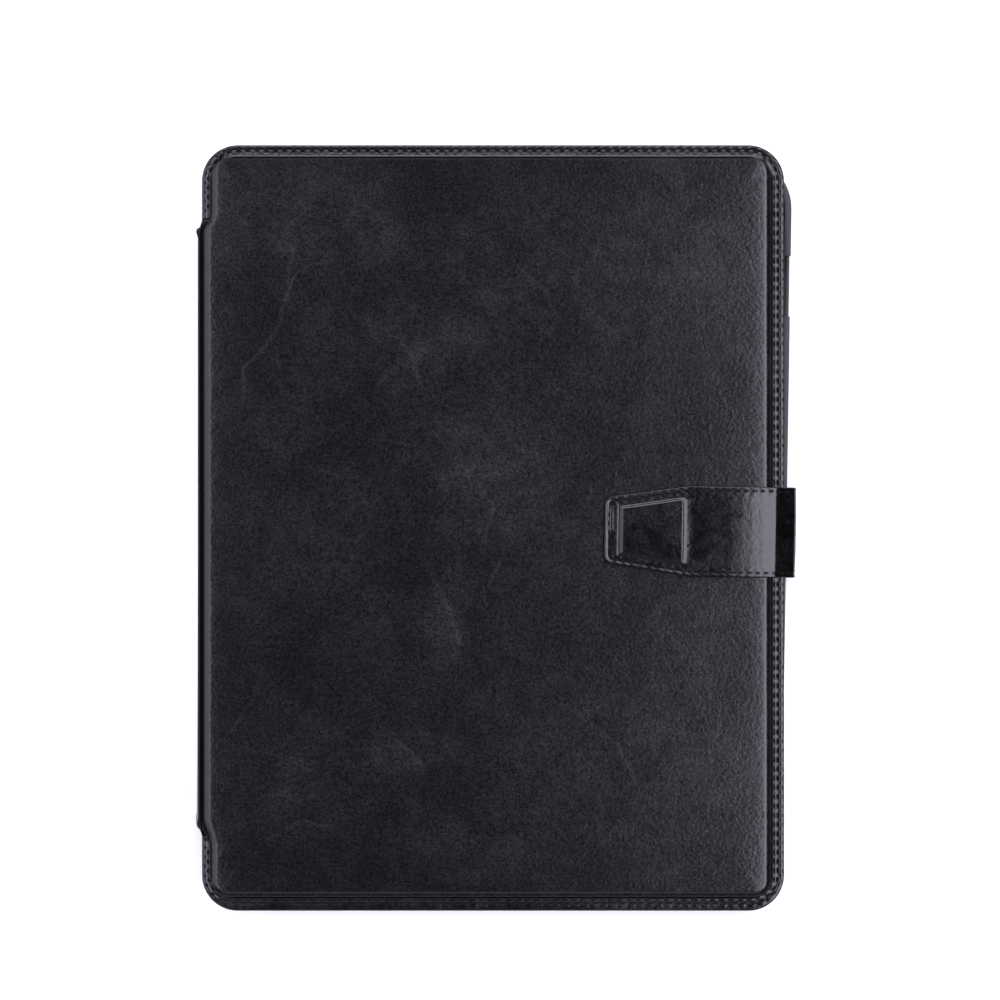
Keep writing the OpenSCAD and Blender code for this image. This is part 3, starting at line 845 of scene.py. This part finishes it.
qy = np.where(ux >= uy, sml, big) * np.sign(GY - wy)
X = np.where(in_corner, wx + qx, X)
Y = np.where(in_corner, wy + qy, Y)
from_hole = np.maximum(cheb - HALF, 0)
u = np.clip(g / 1.1, 0, 1)
Z = 0.55 - 0.53 * np.sqrt(np.clip(1 - (1 - u) ** 2, 0, 1))
around = np.arctan2(Y - wy, X - wx)
cam_pts, cam_nrm = columns(2 * HALF + 5, 2 * HALF + 5, WR + 2.5, 0.01, 0.3)
cam_pts = np.concatenate([cam_pts, cam_pts[:1]])
cam_s = np.concatenate([[0], np.cumsum(np.linalg.norm(np.diff(cam_pts, axis=0), axis=1))])
CAM_PITCH = cam_s[-1] / round(cam_s[-1] / 3.4)
near_hole = (from_hole < 6.4) & (cheb >= HALF - 1e-6)
cp = cam_pts + np.array([wx, wy])
sel = np.argwhere(near_hole)
hp = np.stack([X[near_hole], Y[near_hole]], -1)
best = np.concatenate([np.argmin(((c[:, None, :] - cp[None]) ** 2).sum(-1), 1) for c in np.array_split(hp, 20)])
s_hole = np.zeros_like(X)
s_hole[near_hole] = cam_s[best]
Z = Z - np.where(near_hole, pucker(from_hole - 2.5, s_hole, CAM_PITCH) * 0.8, 0)
Z = Z + np.where(cheb >= HALF - 1e-6, 0.34 * (1 - np.sqrt(np.clip(1 - (1 - np.clip(from_hole / 0.5, 0, 1)) ** 2, 0, 1))), 0)
Z = Z + 0.03 * (vnoise(X, Y, 22, 41)) * sm(g / 3) + np.where(near_hole, 0.14 * sm((6.4 - from_hole) / 3.0), 0)
ni, nj = X.shape
idx = np.arange(ni * nj).reshape(ni, nj)
inside = (np.abs(GX - wx) < HALF - 1e-6) & (np.abs(GY - wy) < HALF - 1e-6)
quads = np.array(grid_faces(ni, nj))
cxm = GX.ravel()[quads].mean(1)
cym = GY.ravel()[quads].mean(1)
quads = quads[~((np.abs(cxm - wx) < HALF) & (np.abs(cym - wy) < HALF))]
top = on_back(X, Y, Z).reshape(-1, 3)
used = np.unique(quads)
remap = -np.ones(len(top), int)
remap[used] = np.arange(len(used))
verts = top[used]
faces = remap[quads].tolist()
bm_edges = {}
for f in faces:
    for a, b in zip(f, f[1:] + f[:1]):
        key = (min(a, b), max(a, b))
        bm_edges[key] = bm_edges.get(key, 0) + 1
rim_edges = [e for e, c in bm_edges.items() if c == 1]
rim_ids = sorted({v for e in rim_edges for v in e})
rim_map = {v: len(verts) + k for k, v in enumerate(rim_ids)}
up = verts[rim_ids].copy()
up[:, 2] = 1.06
verts = np.concatenate([verts, up])
faces += [[a, b, rim_map[b], rim_map[a]] for a, b in rim_edges]
back_panel = make("back_panel", verts, faces, M_BACK)
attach(back_panel, "back")
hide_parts("back_leather")

cam_place = lambda x, y, h: on_back(x + wx, y + wy, 0.19 - h + 0 * x)
back_thread = threads("back_stitches", [
    stitches(seam_pb, seam_sb, lambda x, y, h: on_back(x, y, B_BORDER + 0.02 - h + 0 * x), (0, 0, -1), ends=1.2),
    stitches(cam_pts, cam_s, cam_place, (0, 0, -1), pitch=CAM_PITCH - 1e-6)], M_THREAD)
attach(back_thread, "back")
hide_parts("back_stitching")

# ---------------------------------------------------------------- linings
def slab_sheet(name, place, w, l, r, z0, z1, material, step, inset, seam, m_fn=None):
    """A closed microfibre sheet with a soft edge and the line of the seam pressed into it from the other side."""
    fine = [0, 0.12, 0.3, 0.6, 1.1, 1.7, 2.1, 2.45, 2.8, 3.3, 4.2, 5.6]
    a = graded(-w / 2 + inset, w / 2 - inset, fine, step)
    b = graded(-l / 2 + inset, l / 2 - inset, fine, step)
    X, Y, g, n2 = concentric(a, b, w - 2 * inset, l - 2 * inset, r - inset, 0, 0)
    e = np.clip(g / 0.32, 0, 1)
    soft = 0.5 * (z1 - z0) * np.sqrt(np.clip(1 - (1 - e) ** 2, 0, 1))
    press = 0.12 * np.exp(-(((g + inset - seam(n2)) / 0.6) ** 2)) + 0.05 * (vnoise(X, Y, 17, 51) - 0.5) * sm(g / 4)
    mid = (z0 + z1) / 2
    lo = place(X, Y, mid - soft + press)
    hi = place(X, Y, mid + soft)
    ni, nj = X.shape
    verts = np.concatenate([lo.reshape(-1, 3), hi.reshape(-1, 3)])
    faces = grid_faces(ni, nj) + [f[::-1] for f in grid_faces(ni, nj, base=ni * nj)]
    return make(name, verts, faces, material, weld=0.001)


front_lining = slab_sheet("front_lining_sheet", on_cover, CW, CL, CR, 12.3, 12.9, M_LINING, 2.2, 0.25,
                          lambda n: by_side(n, **F_SEAM))
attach(front_lining, "front_cover")
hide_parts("front_lining")

inner_thread = threads("front_inner_stitches", [
    stitches(seam_p, seam_s, lambda x, y, h: on_cover(x, y, 12.36 + h + 0 * x), (0, 0, -1))], M_THREAD, radius=0.22)
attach(inner_thread, "front_cover")

ls = np.linspace(-112.6, 112.6, 190)


def lining_strip(name, upper):
    """Half of the lining strip over the inside of the spine, with a flap that lies on the neighbouring lining."""
    thick = 0.42
    end = sm((np.abs(ls) - 111.6) / 1.0)
    loops_o, loops_i = [], []
    if upper:
        path = [("c", x, 12.22) for x in np.linspace(-103.6, -108.9, 12)]
        path += [("a", a) for a in np.linspace(0.12, 0.88, 7)]
        path += [("s", t) for t in np.linspace(0.86, 0.5, 14)]
    else:
        path = [("s", t) for t in np.linspace(0.5, 0.16, 14)]
        path += [("a", a) for a in np.linspace(0.12, 0.88, 7)]
        path += [("b", x, 1.78) for x in np.linspace(-110.2, -109.75, 3)]
    for item in path:
        if item[0] == "c":
            _, x, z = item
            fade = 0.2 * sm((x + 104.6) / 1.0)
            face = on_cover(np.full_like(ls, x), ls, np.full_like(ls, z) + fade)
            back = on_cover(np.full_like(ls, x), ls, np.full_like(ls, z + thick))
        elif item[0] == "b":
            _, x, z = item
            face = np.stack([np.full_like(ls, x), ls, np.full_like(ls, z)], -1)
            back = np.stack([np.full_like(ls, x), ls, np.full_like(ls, z - thick)], -1)
        elif item[0] == "s":
            t = item[1]
            face = spine_pt(t, ls, 1.56 - 0.10 * np.sin(np.pi * t) + 0.03 * (vnoise(ls, 0 * ls + t * 12, 6, 61) - 0.5))
            back = spine_pt(t, ls, np.full_like(ls, 1.56 - thick - 0.05))
        else:
            a = item[1] * math.pi / 2
            if upper:       # from under the cover down the spine: a quarter turn of 0.9 mm
                c0 = on_cover(np.full_like(ls, -108.75), ls, np.full_like(ls, 11.30))
                cs = spine_pt((11.30 - 0.55) / 12.9, ls, np.full_like(ls, 1.5))
                ctr_x = c0 * 0
                o = on_cover(np.full_like(ls, FRONT_CREASE + 1.5 + 0.92), ls, np.full_like(ls, 11.30))
                dirx = -np.sin(a)
                dirz = np.cos(a)
                face = o + np.array([dirx, 0, dirz]) * 0.92
                back = o + np.array([dirx, 0, dirz]) * (0.92 + thick)
            else:
                o = np.stack([np.full_like(ls, BACK_CREASE[0] + 1.5 + 0.92), ls, np.full_like(ls, 2.70)], -1)
                dirx = -np.cos(a)
                dirz = -np.sin(a)
                face = o + np.array([dirx, 0, dirz]) * 0.92
                back = o + np.array([dirx, 0, dirz]) * (0.92 + thick)
        mid = (face + back) / 2
        loops_o.append(face * (1 - end[:, None]) + mid * end[:, None])
        loops_i.append(back * (1 - end[:, None]) + mid * end[:, None])
    P = np.stack(loops_o + loops_i[::-1], 1)
    parts = ([], [])
    add_capped(parts, P)
    return make(name, np.concatenate(parts[0]), parts[1], M_LINING)


lining_up = lining_strip("spine_lining_upper", True)
lining_dn = lining_strip("spine_lining_lower", False)
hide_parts("spine_lining")

# ---------------------------------------------------------------- strap
TIPX, TAPERX = 40.0, 71.8


def strap_path():
    """Outer face of the strap in X and Z, from the tip over the fold, down the side and in under the back."""
    pts = [(TIPX, 18.2), (70, 18.2), (84, 18.2), (88, 18.18), (92, 18.10), (96, 17.92), (100, 17.62), (103, 17.30), (104.7, 17.04)]
    pts += [(105.5, 16.72), (106.7, 16.16), (108.6, 15.24), (110.6, 14.26), (111.8, 13.52), (112.5, 12.85), (112.78, 11.6)]
    pts += [(112.82, 10.2), (112.86, 8), (112.84, 6), (112.8, 4.2), (112.76, 3.0)]
    for a in np.linspace(0, 90, 7)[1:]:
        pts.append((111.55 + 1.22 * math.cos(math.radians(a)), 2.3 - 1.22 * math.sin(math.radians(a))))
    pts += [(110.5, 1.08), (108, 1.12), (104, 1.14), (100, 1.14)]
    return np.array(pts, float)


def resample(pts, steps):
    s = np.concatenate([[0], np.cumsum(np.linalg.norm(np.diff(pts, axis=0), axis=1))])
    dense = np.linspace(0, s[-1], 4000)
    x, z = np.interp(dense, s, pts[:, 0]), np.interp(dense, s, pts[:, 1])
    k = np.exp(-((np.arange(-14, 15) / 6.5) ** 2))      # rounds the corners of the polyline
    k /= k.sum()
    xp, zp = np.pad(x, 14, mode="reflect", reflect_type="odd"), np.pad(z, 14, mode="reflect", reflect_type="odd")
    x, z = np.convolve(xp, k, "valid"), np.convolve(zp, k, "valid")
    sd = np.concatenate([[0], np.cumsum(np.hypot(np.diff(x), np.diff(z)))])
    at = np.array(steps)
    X_, Z_ = np.interp(at, sd, x), np.interp(at, sd, z)
    tx, tz = np.gradient(x, sd), np.gradient(z, sd)
    TX, TZ = np.interp(at, sd, tx), np.interp(at, sd, tz)
    ln = np.hypot(TX, TZ)
    TX, TZ = TX / ln, TZ / ln
    return X_, Z_, -TZ, TX, sd[-1]           # outward normal for a path that runs +X on top is (-tz, tx)


_, _, _, _, S_END = resample(strap_path(), [0.0])


def at_station(test):
    s = np.linspace(0, S_END, 3000)
    X_, Z_, _, _, _ = resample(strap_path(), s)
    return float(s[np.argmax(test(X_, Z_))])


S_FOLD = at_station(lambda x, z: (x > 105.2) & (z < 17.3))
S_MID = at_station(lambda x, z: (x > 112) & (z < 7.0))


def half_width(x_tip):
    """Half width along the strap, at a distance from the tip."""
    hw = 12.75 + (STRAP_W / 2 - 12.75) * np.clip((x_tip - 2.5) / (TAPERX - TIPX - 2.5), 0, 1)
    r = 3.2
    corner = np.clip(r - x_tip, 0, r)
    return hw - r + np.sqrt(np.clip(r * r - corner ** 2, 0, None))


def inset_from_edge(x_tip, y):
    line_hw = 12.75 + (STRAP_W / 2 - 12.75) * np.clip((x_tip - 2.5) / (TAPERX - TIPX - 2.5), 0, 1)
    a, b, r = x_tip, line_hw - np.abs(y), 3.2
    return np.where((a < r) & (b < r), r - np.hypot(r - a, r - b), np.minimum(a, b))


PAD0, PAD1 = 6.4, 29.6
SEAM_IN = 1.75
STRAP_PITCH = 3.3


def strap_seam():
    """Seam round the tab: down one side, round the tip and back."""
    x_t = np.concatenate([np.arange(S_END - 10, 3.2, -0.4)])
    top_side = np.stack([x_t, half_width(x_t) - SEAM_IN], -1)
    rr = 3.2 - SEAM_IN + 0.6
    cx, cy = SEAM_IN + rr, 12.75 - SEAM_IN - rr + 0.1
    a = np.radians(np.linspace(90, 180, 12))
    corner = np.stack([cx + rr * np.cos(a), cy + rr * np.sin(a)], -1)
    top_side = top_side[top_side[:, 0] > cx + 0.3]
    half = np.concatenate([top_side, corner])
    other = half[::-1] * np.array([1, -1])
    path = np.concatenate([half, other])
    s = np.concatenate([[0], np.cumsum(np.linalg.norm(np.diff(path, axis=0), axis=1))])
    return path, s


seam_q, seam_t = strap_seam()


def strap_height(xt, y, w_scale=1.0):
    """Relief of the strap's outer face: rim, seam channel with its puckers, raised magnet pad, soft belly."""
    d = inset_from_edge(xt, y)
    # distance along the seam for the puckers
    flat = np.stack([xt.ravel(), y.ravel()], -1)
    dist = np.empty(len(flat))
    sa = np.empty(len(flat))
    near = d.ravel() < 3.6
    sa[:] = STRAP_PITCH / 2
    ids = np.flatnonzero(near)
    for c in np.array_split(ids, max(1, len(ids) // 1500)):
        q = ((flat[c][:, None, :] - seam_q[None]) ** 2).sum(-1)
        sa[c] = seam_t[np.argmin(q, 1)]
    sa = sa.reshape(xt.shape)
    h = 0.6 * pucker(d - SEAM_IN, sa, STRAP_PITCH) * np.where(d < 3.6, 1, 0)
    h = h + 0.07 * sm((1.25 - d) / 0.5) * sm(d / 0.3)
    # magnet pad: a trapezoid whose long sides run with the strap's own edges
    ph = 8.7 + (12.3 - 8.7) * (xt - PAD0) / (PAD1 - PAD0)
    inside = np.minimum(np.minimum(xt - PAD0, PAD1 - xt), ph - np.abs(y))
    ends = np.minimum(xt - PAD0, ph - np.abs(y))
    past = np.clip(xt - PAD1, 0, 50)
    fall = 0.5 * np.exp(-past / 0.5) + 0.5 * np.exp(-past / 2.4)
    pad = sm((ends + 0.5) / 1.3) * fall
    h = h + 0.55 * pad + 0.07 * sm(inside / 5.0) - 0.10 * np.exp(-((inside + 0.75) / 0.6) ** 2) * (xt > PAD0 - 2) * (xt < PAD1)
    # soft belly between the seams along the plain part
    belly = sm((xt - PAD1 - 2) / 10)
    h = h + belly * 0.16 * sm((d - SEAM_IN) / 9.0)
    h = h + 0.05 * (vnoise(xt, y, 7, 71) - 0.5) * sm(d / 3)
    return h


V_IN = np.array([0.0, 0.05, 0.14, 0.28, 0.5, 0.8, 1.1, 1.35, 1.6, 1.85, 2.1, 2.4, 2.8, 3.4, 3.9, 4.2, 4.5, 4.8, 5.1, 5.5, 6.2])


def strap_band(name, s0, s1, inner, outer, material, fine_relief=True, shrink=0.0, tip=False, cap_end=False):
    """One stretch of the strap as a closed section swept along its path.
    inner and outer are depths under the outer face; shrink pulls the edges in."""
    if tip:
        st = np.concatenate([[0.0, 0.03, 0.10, 0.20, 0.34], np.arange(0.5, 9.0, 0.32), np.arange(9.0, 28.5, 0.75),
                             np.arange(28.5, 31.5, 0.25), np.arange(31.5, S_FOLD - 6, 0.85), np.arange(S_FOLD - 6, S_FOLD + 3, 0.35),
                             np.arange(S_FOLD + 3, s1, 0.6), [s1]])
    else:
        st = np.concatenate([np.arange(s0, s1 - 12, 0.6), np.arange(s1 - 12, s1, 0.45), [s1]])
    st = np.unique(np.round(st, 4))
    if tip:
        st = st[st >= 0]
    xt = st + (shrink if tip else 0)
    cx, cz, nx, nz, _ = resample(strap_path(), xt)
    hw = half_width(xt) - shrink if not tip else half_width(np.maximum(xt - shrink, 0)) - shrink
    ni = len(st)
    t_full = outer_t = inner - outer
    thick = np.full(ni, inner - outer)
    grow = np.ones(ni)
    if tip:
        grow = np.sqrt(np.clip(1 - (1 - np.clip(st / 0.34, 0, 1)) ** 2, 0, 1))
    vs = []
    half_in = V_IN
    mid_n = 17
    tops = []
    for k in range(ni):
        a = hw[k]
        ins = half_in * min(1.0, a / 8.5)
        left = -a + ins
        right = a - ins[::-1]
        mid = np.linspace(left[-1], right[0], mid_n)[1:-1]
        tops.append(np.concatenate([left, mid, right]))
    Yt = np.array(tops)
    XT = np.repeat(xt[:, None], Yt.shape[1], 1)
    edge_in = np.minimum(hw[:, None] - np.abs(Yt), 10)
    e = np.clip(edge_in / 0.42, 0, 1)
    rnd = np.sqrt(np.clip(1 - (1 - e) ** 2, 0, 1))
    full = (inner - outer) / 2
    relief = strap_height(XT, Yt) if fine_relief else 0.03 * (vnoise(XT, Yt, 6, 73) - 0.5)
    up_ = full * rnd * grow[:, None] + relief * (e * grow[:, None])
    dn_ = -full * rnd * grow[:, None]
    if not fine_relief:
        lift = np.clip(strap_height(XT, Yt) * 0.0, 0, 1)
    mid_depth = (inner + outer) / 2
    def place(off):
        o = off - mid_depth
        return np.stack([cx[:, None] + nx[:, None] * o, Yt, cz[:, None] + nz[:, None] * o], -1)
    A, B = place(up_), place(dn_)
    P = np.concatenate([A, B[:, ::-1][:, 1:-1]], 1)
    parts = ([], [])
    add_capped(parts, P)
    return make(name, np.concatenate(parts[0]), parts[1], material, weld=0.002)


strap_tab = strap_band("strap_tab", 0, S_MID, 1.1, 0.0, M_STRAP, tip=True)
strap_side = strap_band("strap_side", S_MID, S_END, 1.1, 0.0, M_STRAP)
tab_lining = strap_band("strap_tab_lining_strip", 0, S_MID, 1.68, 1.08, M_STRAP_LINING, False, 0.35, True)
side_lining = strap_band("strap_side_lining_strip", S_MID, S_END - 13.0, 1.68, 1.08, M_STRAP_LINING, False, 0.35)


def strap_threads(name, s0, s1):
    n = int(seam_t[-1] / STRAP_PITCH)
    at = STRAP_PITCH * np.arange(n + 1)
    x = np.interp(at, seam_t, seam_q[:, 0])
    y = np.interp(at, seam_t, seam_q[:, 1])
    cx, cz, nx, nz, _ = resample(strap_path(), x)
    p = np.stack([cx, y, cz], -1)
    nn = np.stack([nx, 0 * nx, nz], -1)
    A, B = p[:-1], p[1:]
    U = nn[:-1] + nn[1:]
    mid = (x[:-1] + x[1:]) / 2
    keep = (mid >= s0) & (mid < s1)
    return threads(name, [(A[keep], B[keep], U[keep])], M_THREAD, radius=0.33, gap=0.72)


tab_thread = strap_threads("strap_tab_stitches", 0, S_MID)
side_thread = strap_threads("strap_side_stitches", S_MID, S_END - 11.5)

# ---------------------------------------------------------------- tray: moulded, with eased edges
def eased(node, name, material, width, angle=30):
    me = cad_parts[node].data.copy()
    me.name = name
    for key in [a.name for a in me.attributes if a.name.startswith("_")]:
        me.attributes.remove(me.attributes[key])
    me.materials.clear()
    bm = bmesh.new()
    bm.from_mesh(me)
    bmesh.ops.remove_doubles(bm, verts=bm.verts, dist=2e-6)
    bmesh.ops.dissolve_limit(bm, angle_limit=math.radians(0.6), verts=bm.verts, edges=bm.edges)
    bm.to_mesh(me)
    bm.free()
    ob = bpy.data.objects.new(name, me)
    scene.collection.objects.link(ob)
    me.materials.append(material)
    bv = ob.modifiers.new("eased", "BEVEL")
    bv.width = width * MM
    bv.segments = 3
    bv.limit_method = "ANGLE"
    bv.angle_limit = math.radians(angle)
    bv.use_clamp_overlap = True
    bv.harden_normals = False
    dg_ = bpy.context.evaluated_depsgraph_get()
    done = bpy.data.meshes.new_from_object(ob.evaluated_get(dg_))
    ob.modifiers.clear()
    ob.data = done
    done.shade_smooth()
    for poly in done.polygons:
        poly.use_smooth = True
    keep_rest(done)
    done.set_sharp_from_angle(angle=math.radians(34))
    return ob


tray = eased("tablet_tray", "tray_shell", M_TRAY, 0.22)
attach(tray, "back")
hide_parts("tablet_tray")

# ---------------------------------------------------------------- materials of the CAD nodes that stay
CAD_MATERIALS = {
    "back_board": board("grey_board", (0.16, 0.14, 0.115), (0.26, 0.235, 0.195)),
    "front_board": board("cover_board", (0.16, 0.14, 0.115), (0.26, 0.235, 0.195)),
    "spine_board": board("stiffener_sheet", (0.03, 0.03, 0.034), (0.06, 0.06, 0.066)),
    "back_lining": microfibre("microfibre_back", "object"),
    "tray_adhesive": film("bond_film"),
    "front_catch_plate": metal("catch_steel", (0.42, 0.42, 0.43), (0.55, 0.55, 0.57), 0.34),
    "wake_magnets": metal("magnet_nickel", (0.60, 0.60, 0.62), (0.72, 0.72, 0.74), 0.24),
    "strap_magnet": metal("magnet_nickel_strap", (0.60, 0.60, 0.62), (0.72, 0.72, 0.74), 0.24),
    "magnet_pad": foam("pad_foam"),
    "strap_root": leather("leather_root", "object"),
}
for node, material in CAD_MATERIALS.items():
    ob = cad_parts[node]
    for slot in ob.material_slots:
        slot.material = material
    if not ob.material_slots:
        ob.data.materials.append(material)

# ---------------------------------------------------------------- what moves with what
def mmv(*v):
    return tuple(c * MM for c in v)


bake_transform(front_border, "spine", "front_cover", start=mmv(-113.9, 0, 11.55), end=mmv(-113.21, 0, 13.744))
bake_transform(lining_up, "spine", "front_cover", start=mmv(-111.6, 0, 10.9), end=mmv(-110.9, 0, 12.6))
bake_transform(back_border, "back", "spine", start=mmv(-112.0, 0, 0.55), end=mmv(-112.8, 0, 2.39))
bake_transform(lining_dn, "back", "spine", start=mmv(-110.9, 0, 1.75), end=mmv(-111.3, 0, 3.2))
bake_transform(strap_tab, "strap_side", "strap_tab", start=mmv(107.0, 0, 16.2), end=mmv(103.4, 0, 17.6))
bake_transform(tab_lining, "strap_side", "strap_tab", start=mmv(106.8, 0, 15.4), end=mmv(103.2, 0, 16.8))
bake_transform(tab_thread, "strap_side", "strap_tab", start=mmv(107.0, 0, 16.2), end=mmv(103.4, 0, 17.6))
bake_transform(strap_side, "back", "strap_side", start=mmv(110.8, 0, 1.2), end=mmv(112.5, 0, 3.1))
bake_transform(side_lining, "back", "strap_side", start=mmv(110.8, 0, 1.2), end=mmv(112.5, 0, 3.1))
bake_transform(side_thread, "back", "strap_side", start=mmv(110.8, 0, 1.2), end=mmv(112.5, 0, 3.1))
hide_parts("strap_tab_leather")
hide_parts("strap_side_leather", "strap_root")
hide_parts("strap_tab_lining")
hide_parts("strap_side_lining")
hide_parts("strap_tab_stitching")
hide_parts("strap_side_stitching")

# ---------------------------------------------------------------- floor and light
def floor():
    n = Nodes("floor_paper", "object")
    f = n.noise(3, 3, 0.5)
    n.b.inputs["Emission Color"].default_value = (1, 1, 1, 1)
    return n.done(n.mix(f, (0.90, 0.90, 0.90), (0.92, 0.92, 0.92)), 0.9, Specular_IOR_Level=0.0, Emission_Strength=0.42)


me = bpy.data.meshes.new("floor")
me.from_pydata([(-4, -4, -0.0006), (4, -4, -0.0006), (4, 4, -0.0006), (-4, 4, -0.0006)], [], [[0, 1, 2, 3]])
me.materials.append(floor())
fl = bpy.data.objects.new("floor", me)
scene.collection.objects.link(fl)

world = bpy.data.worlds.new("studio")
scene.world = world
world.use_nodes = True
bg = world.node_tree.nodes["Background"]
bg.inputs[0].default_value = (1, 1, 1, 1)
bg.inputs[1].default_value = 0.015


def area(name, loc, aim, sx, sy, power):
    d = bpy.data.lights.new(name, "AREA")
    d.shape = "RECTANGLE"
    d.size, d.size_y = sx, sy
    d.energy = power
    d.color = (1.0, 0.985, 1.15)
    o = bpy.data.objects.new(name, d)
    scene.collection.objects.link(o)
    o.location = loc
    o.rotation_euler = (Vector(aim) - Vector(loc)).to_track_quat("-Z", "Y").to_euler()
    return o


area("right_box", (0.675, 0.0, 1.375), (0.08, 0, 0), 1.5, 0.70, 15.5)
area("left_box", (-1.05, 0.05, 1.05), (-0.05, 0, 0), 1.5, 1.28, 10.0)
area("left_strip", (-0.60, 0.05, 1.40), (-0.06, 0, 0), 1.5, 0.24, 2.0)
area("top_box", (0.0, 1.225, 1.207), (0, 0.1, 0), 1.7, 0.8, 20)
area("bottom_box", (0.0, -1.22, 1.20), (0, -0.1, 0), 1.7, 0.8, 2.6)
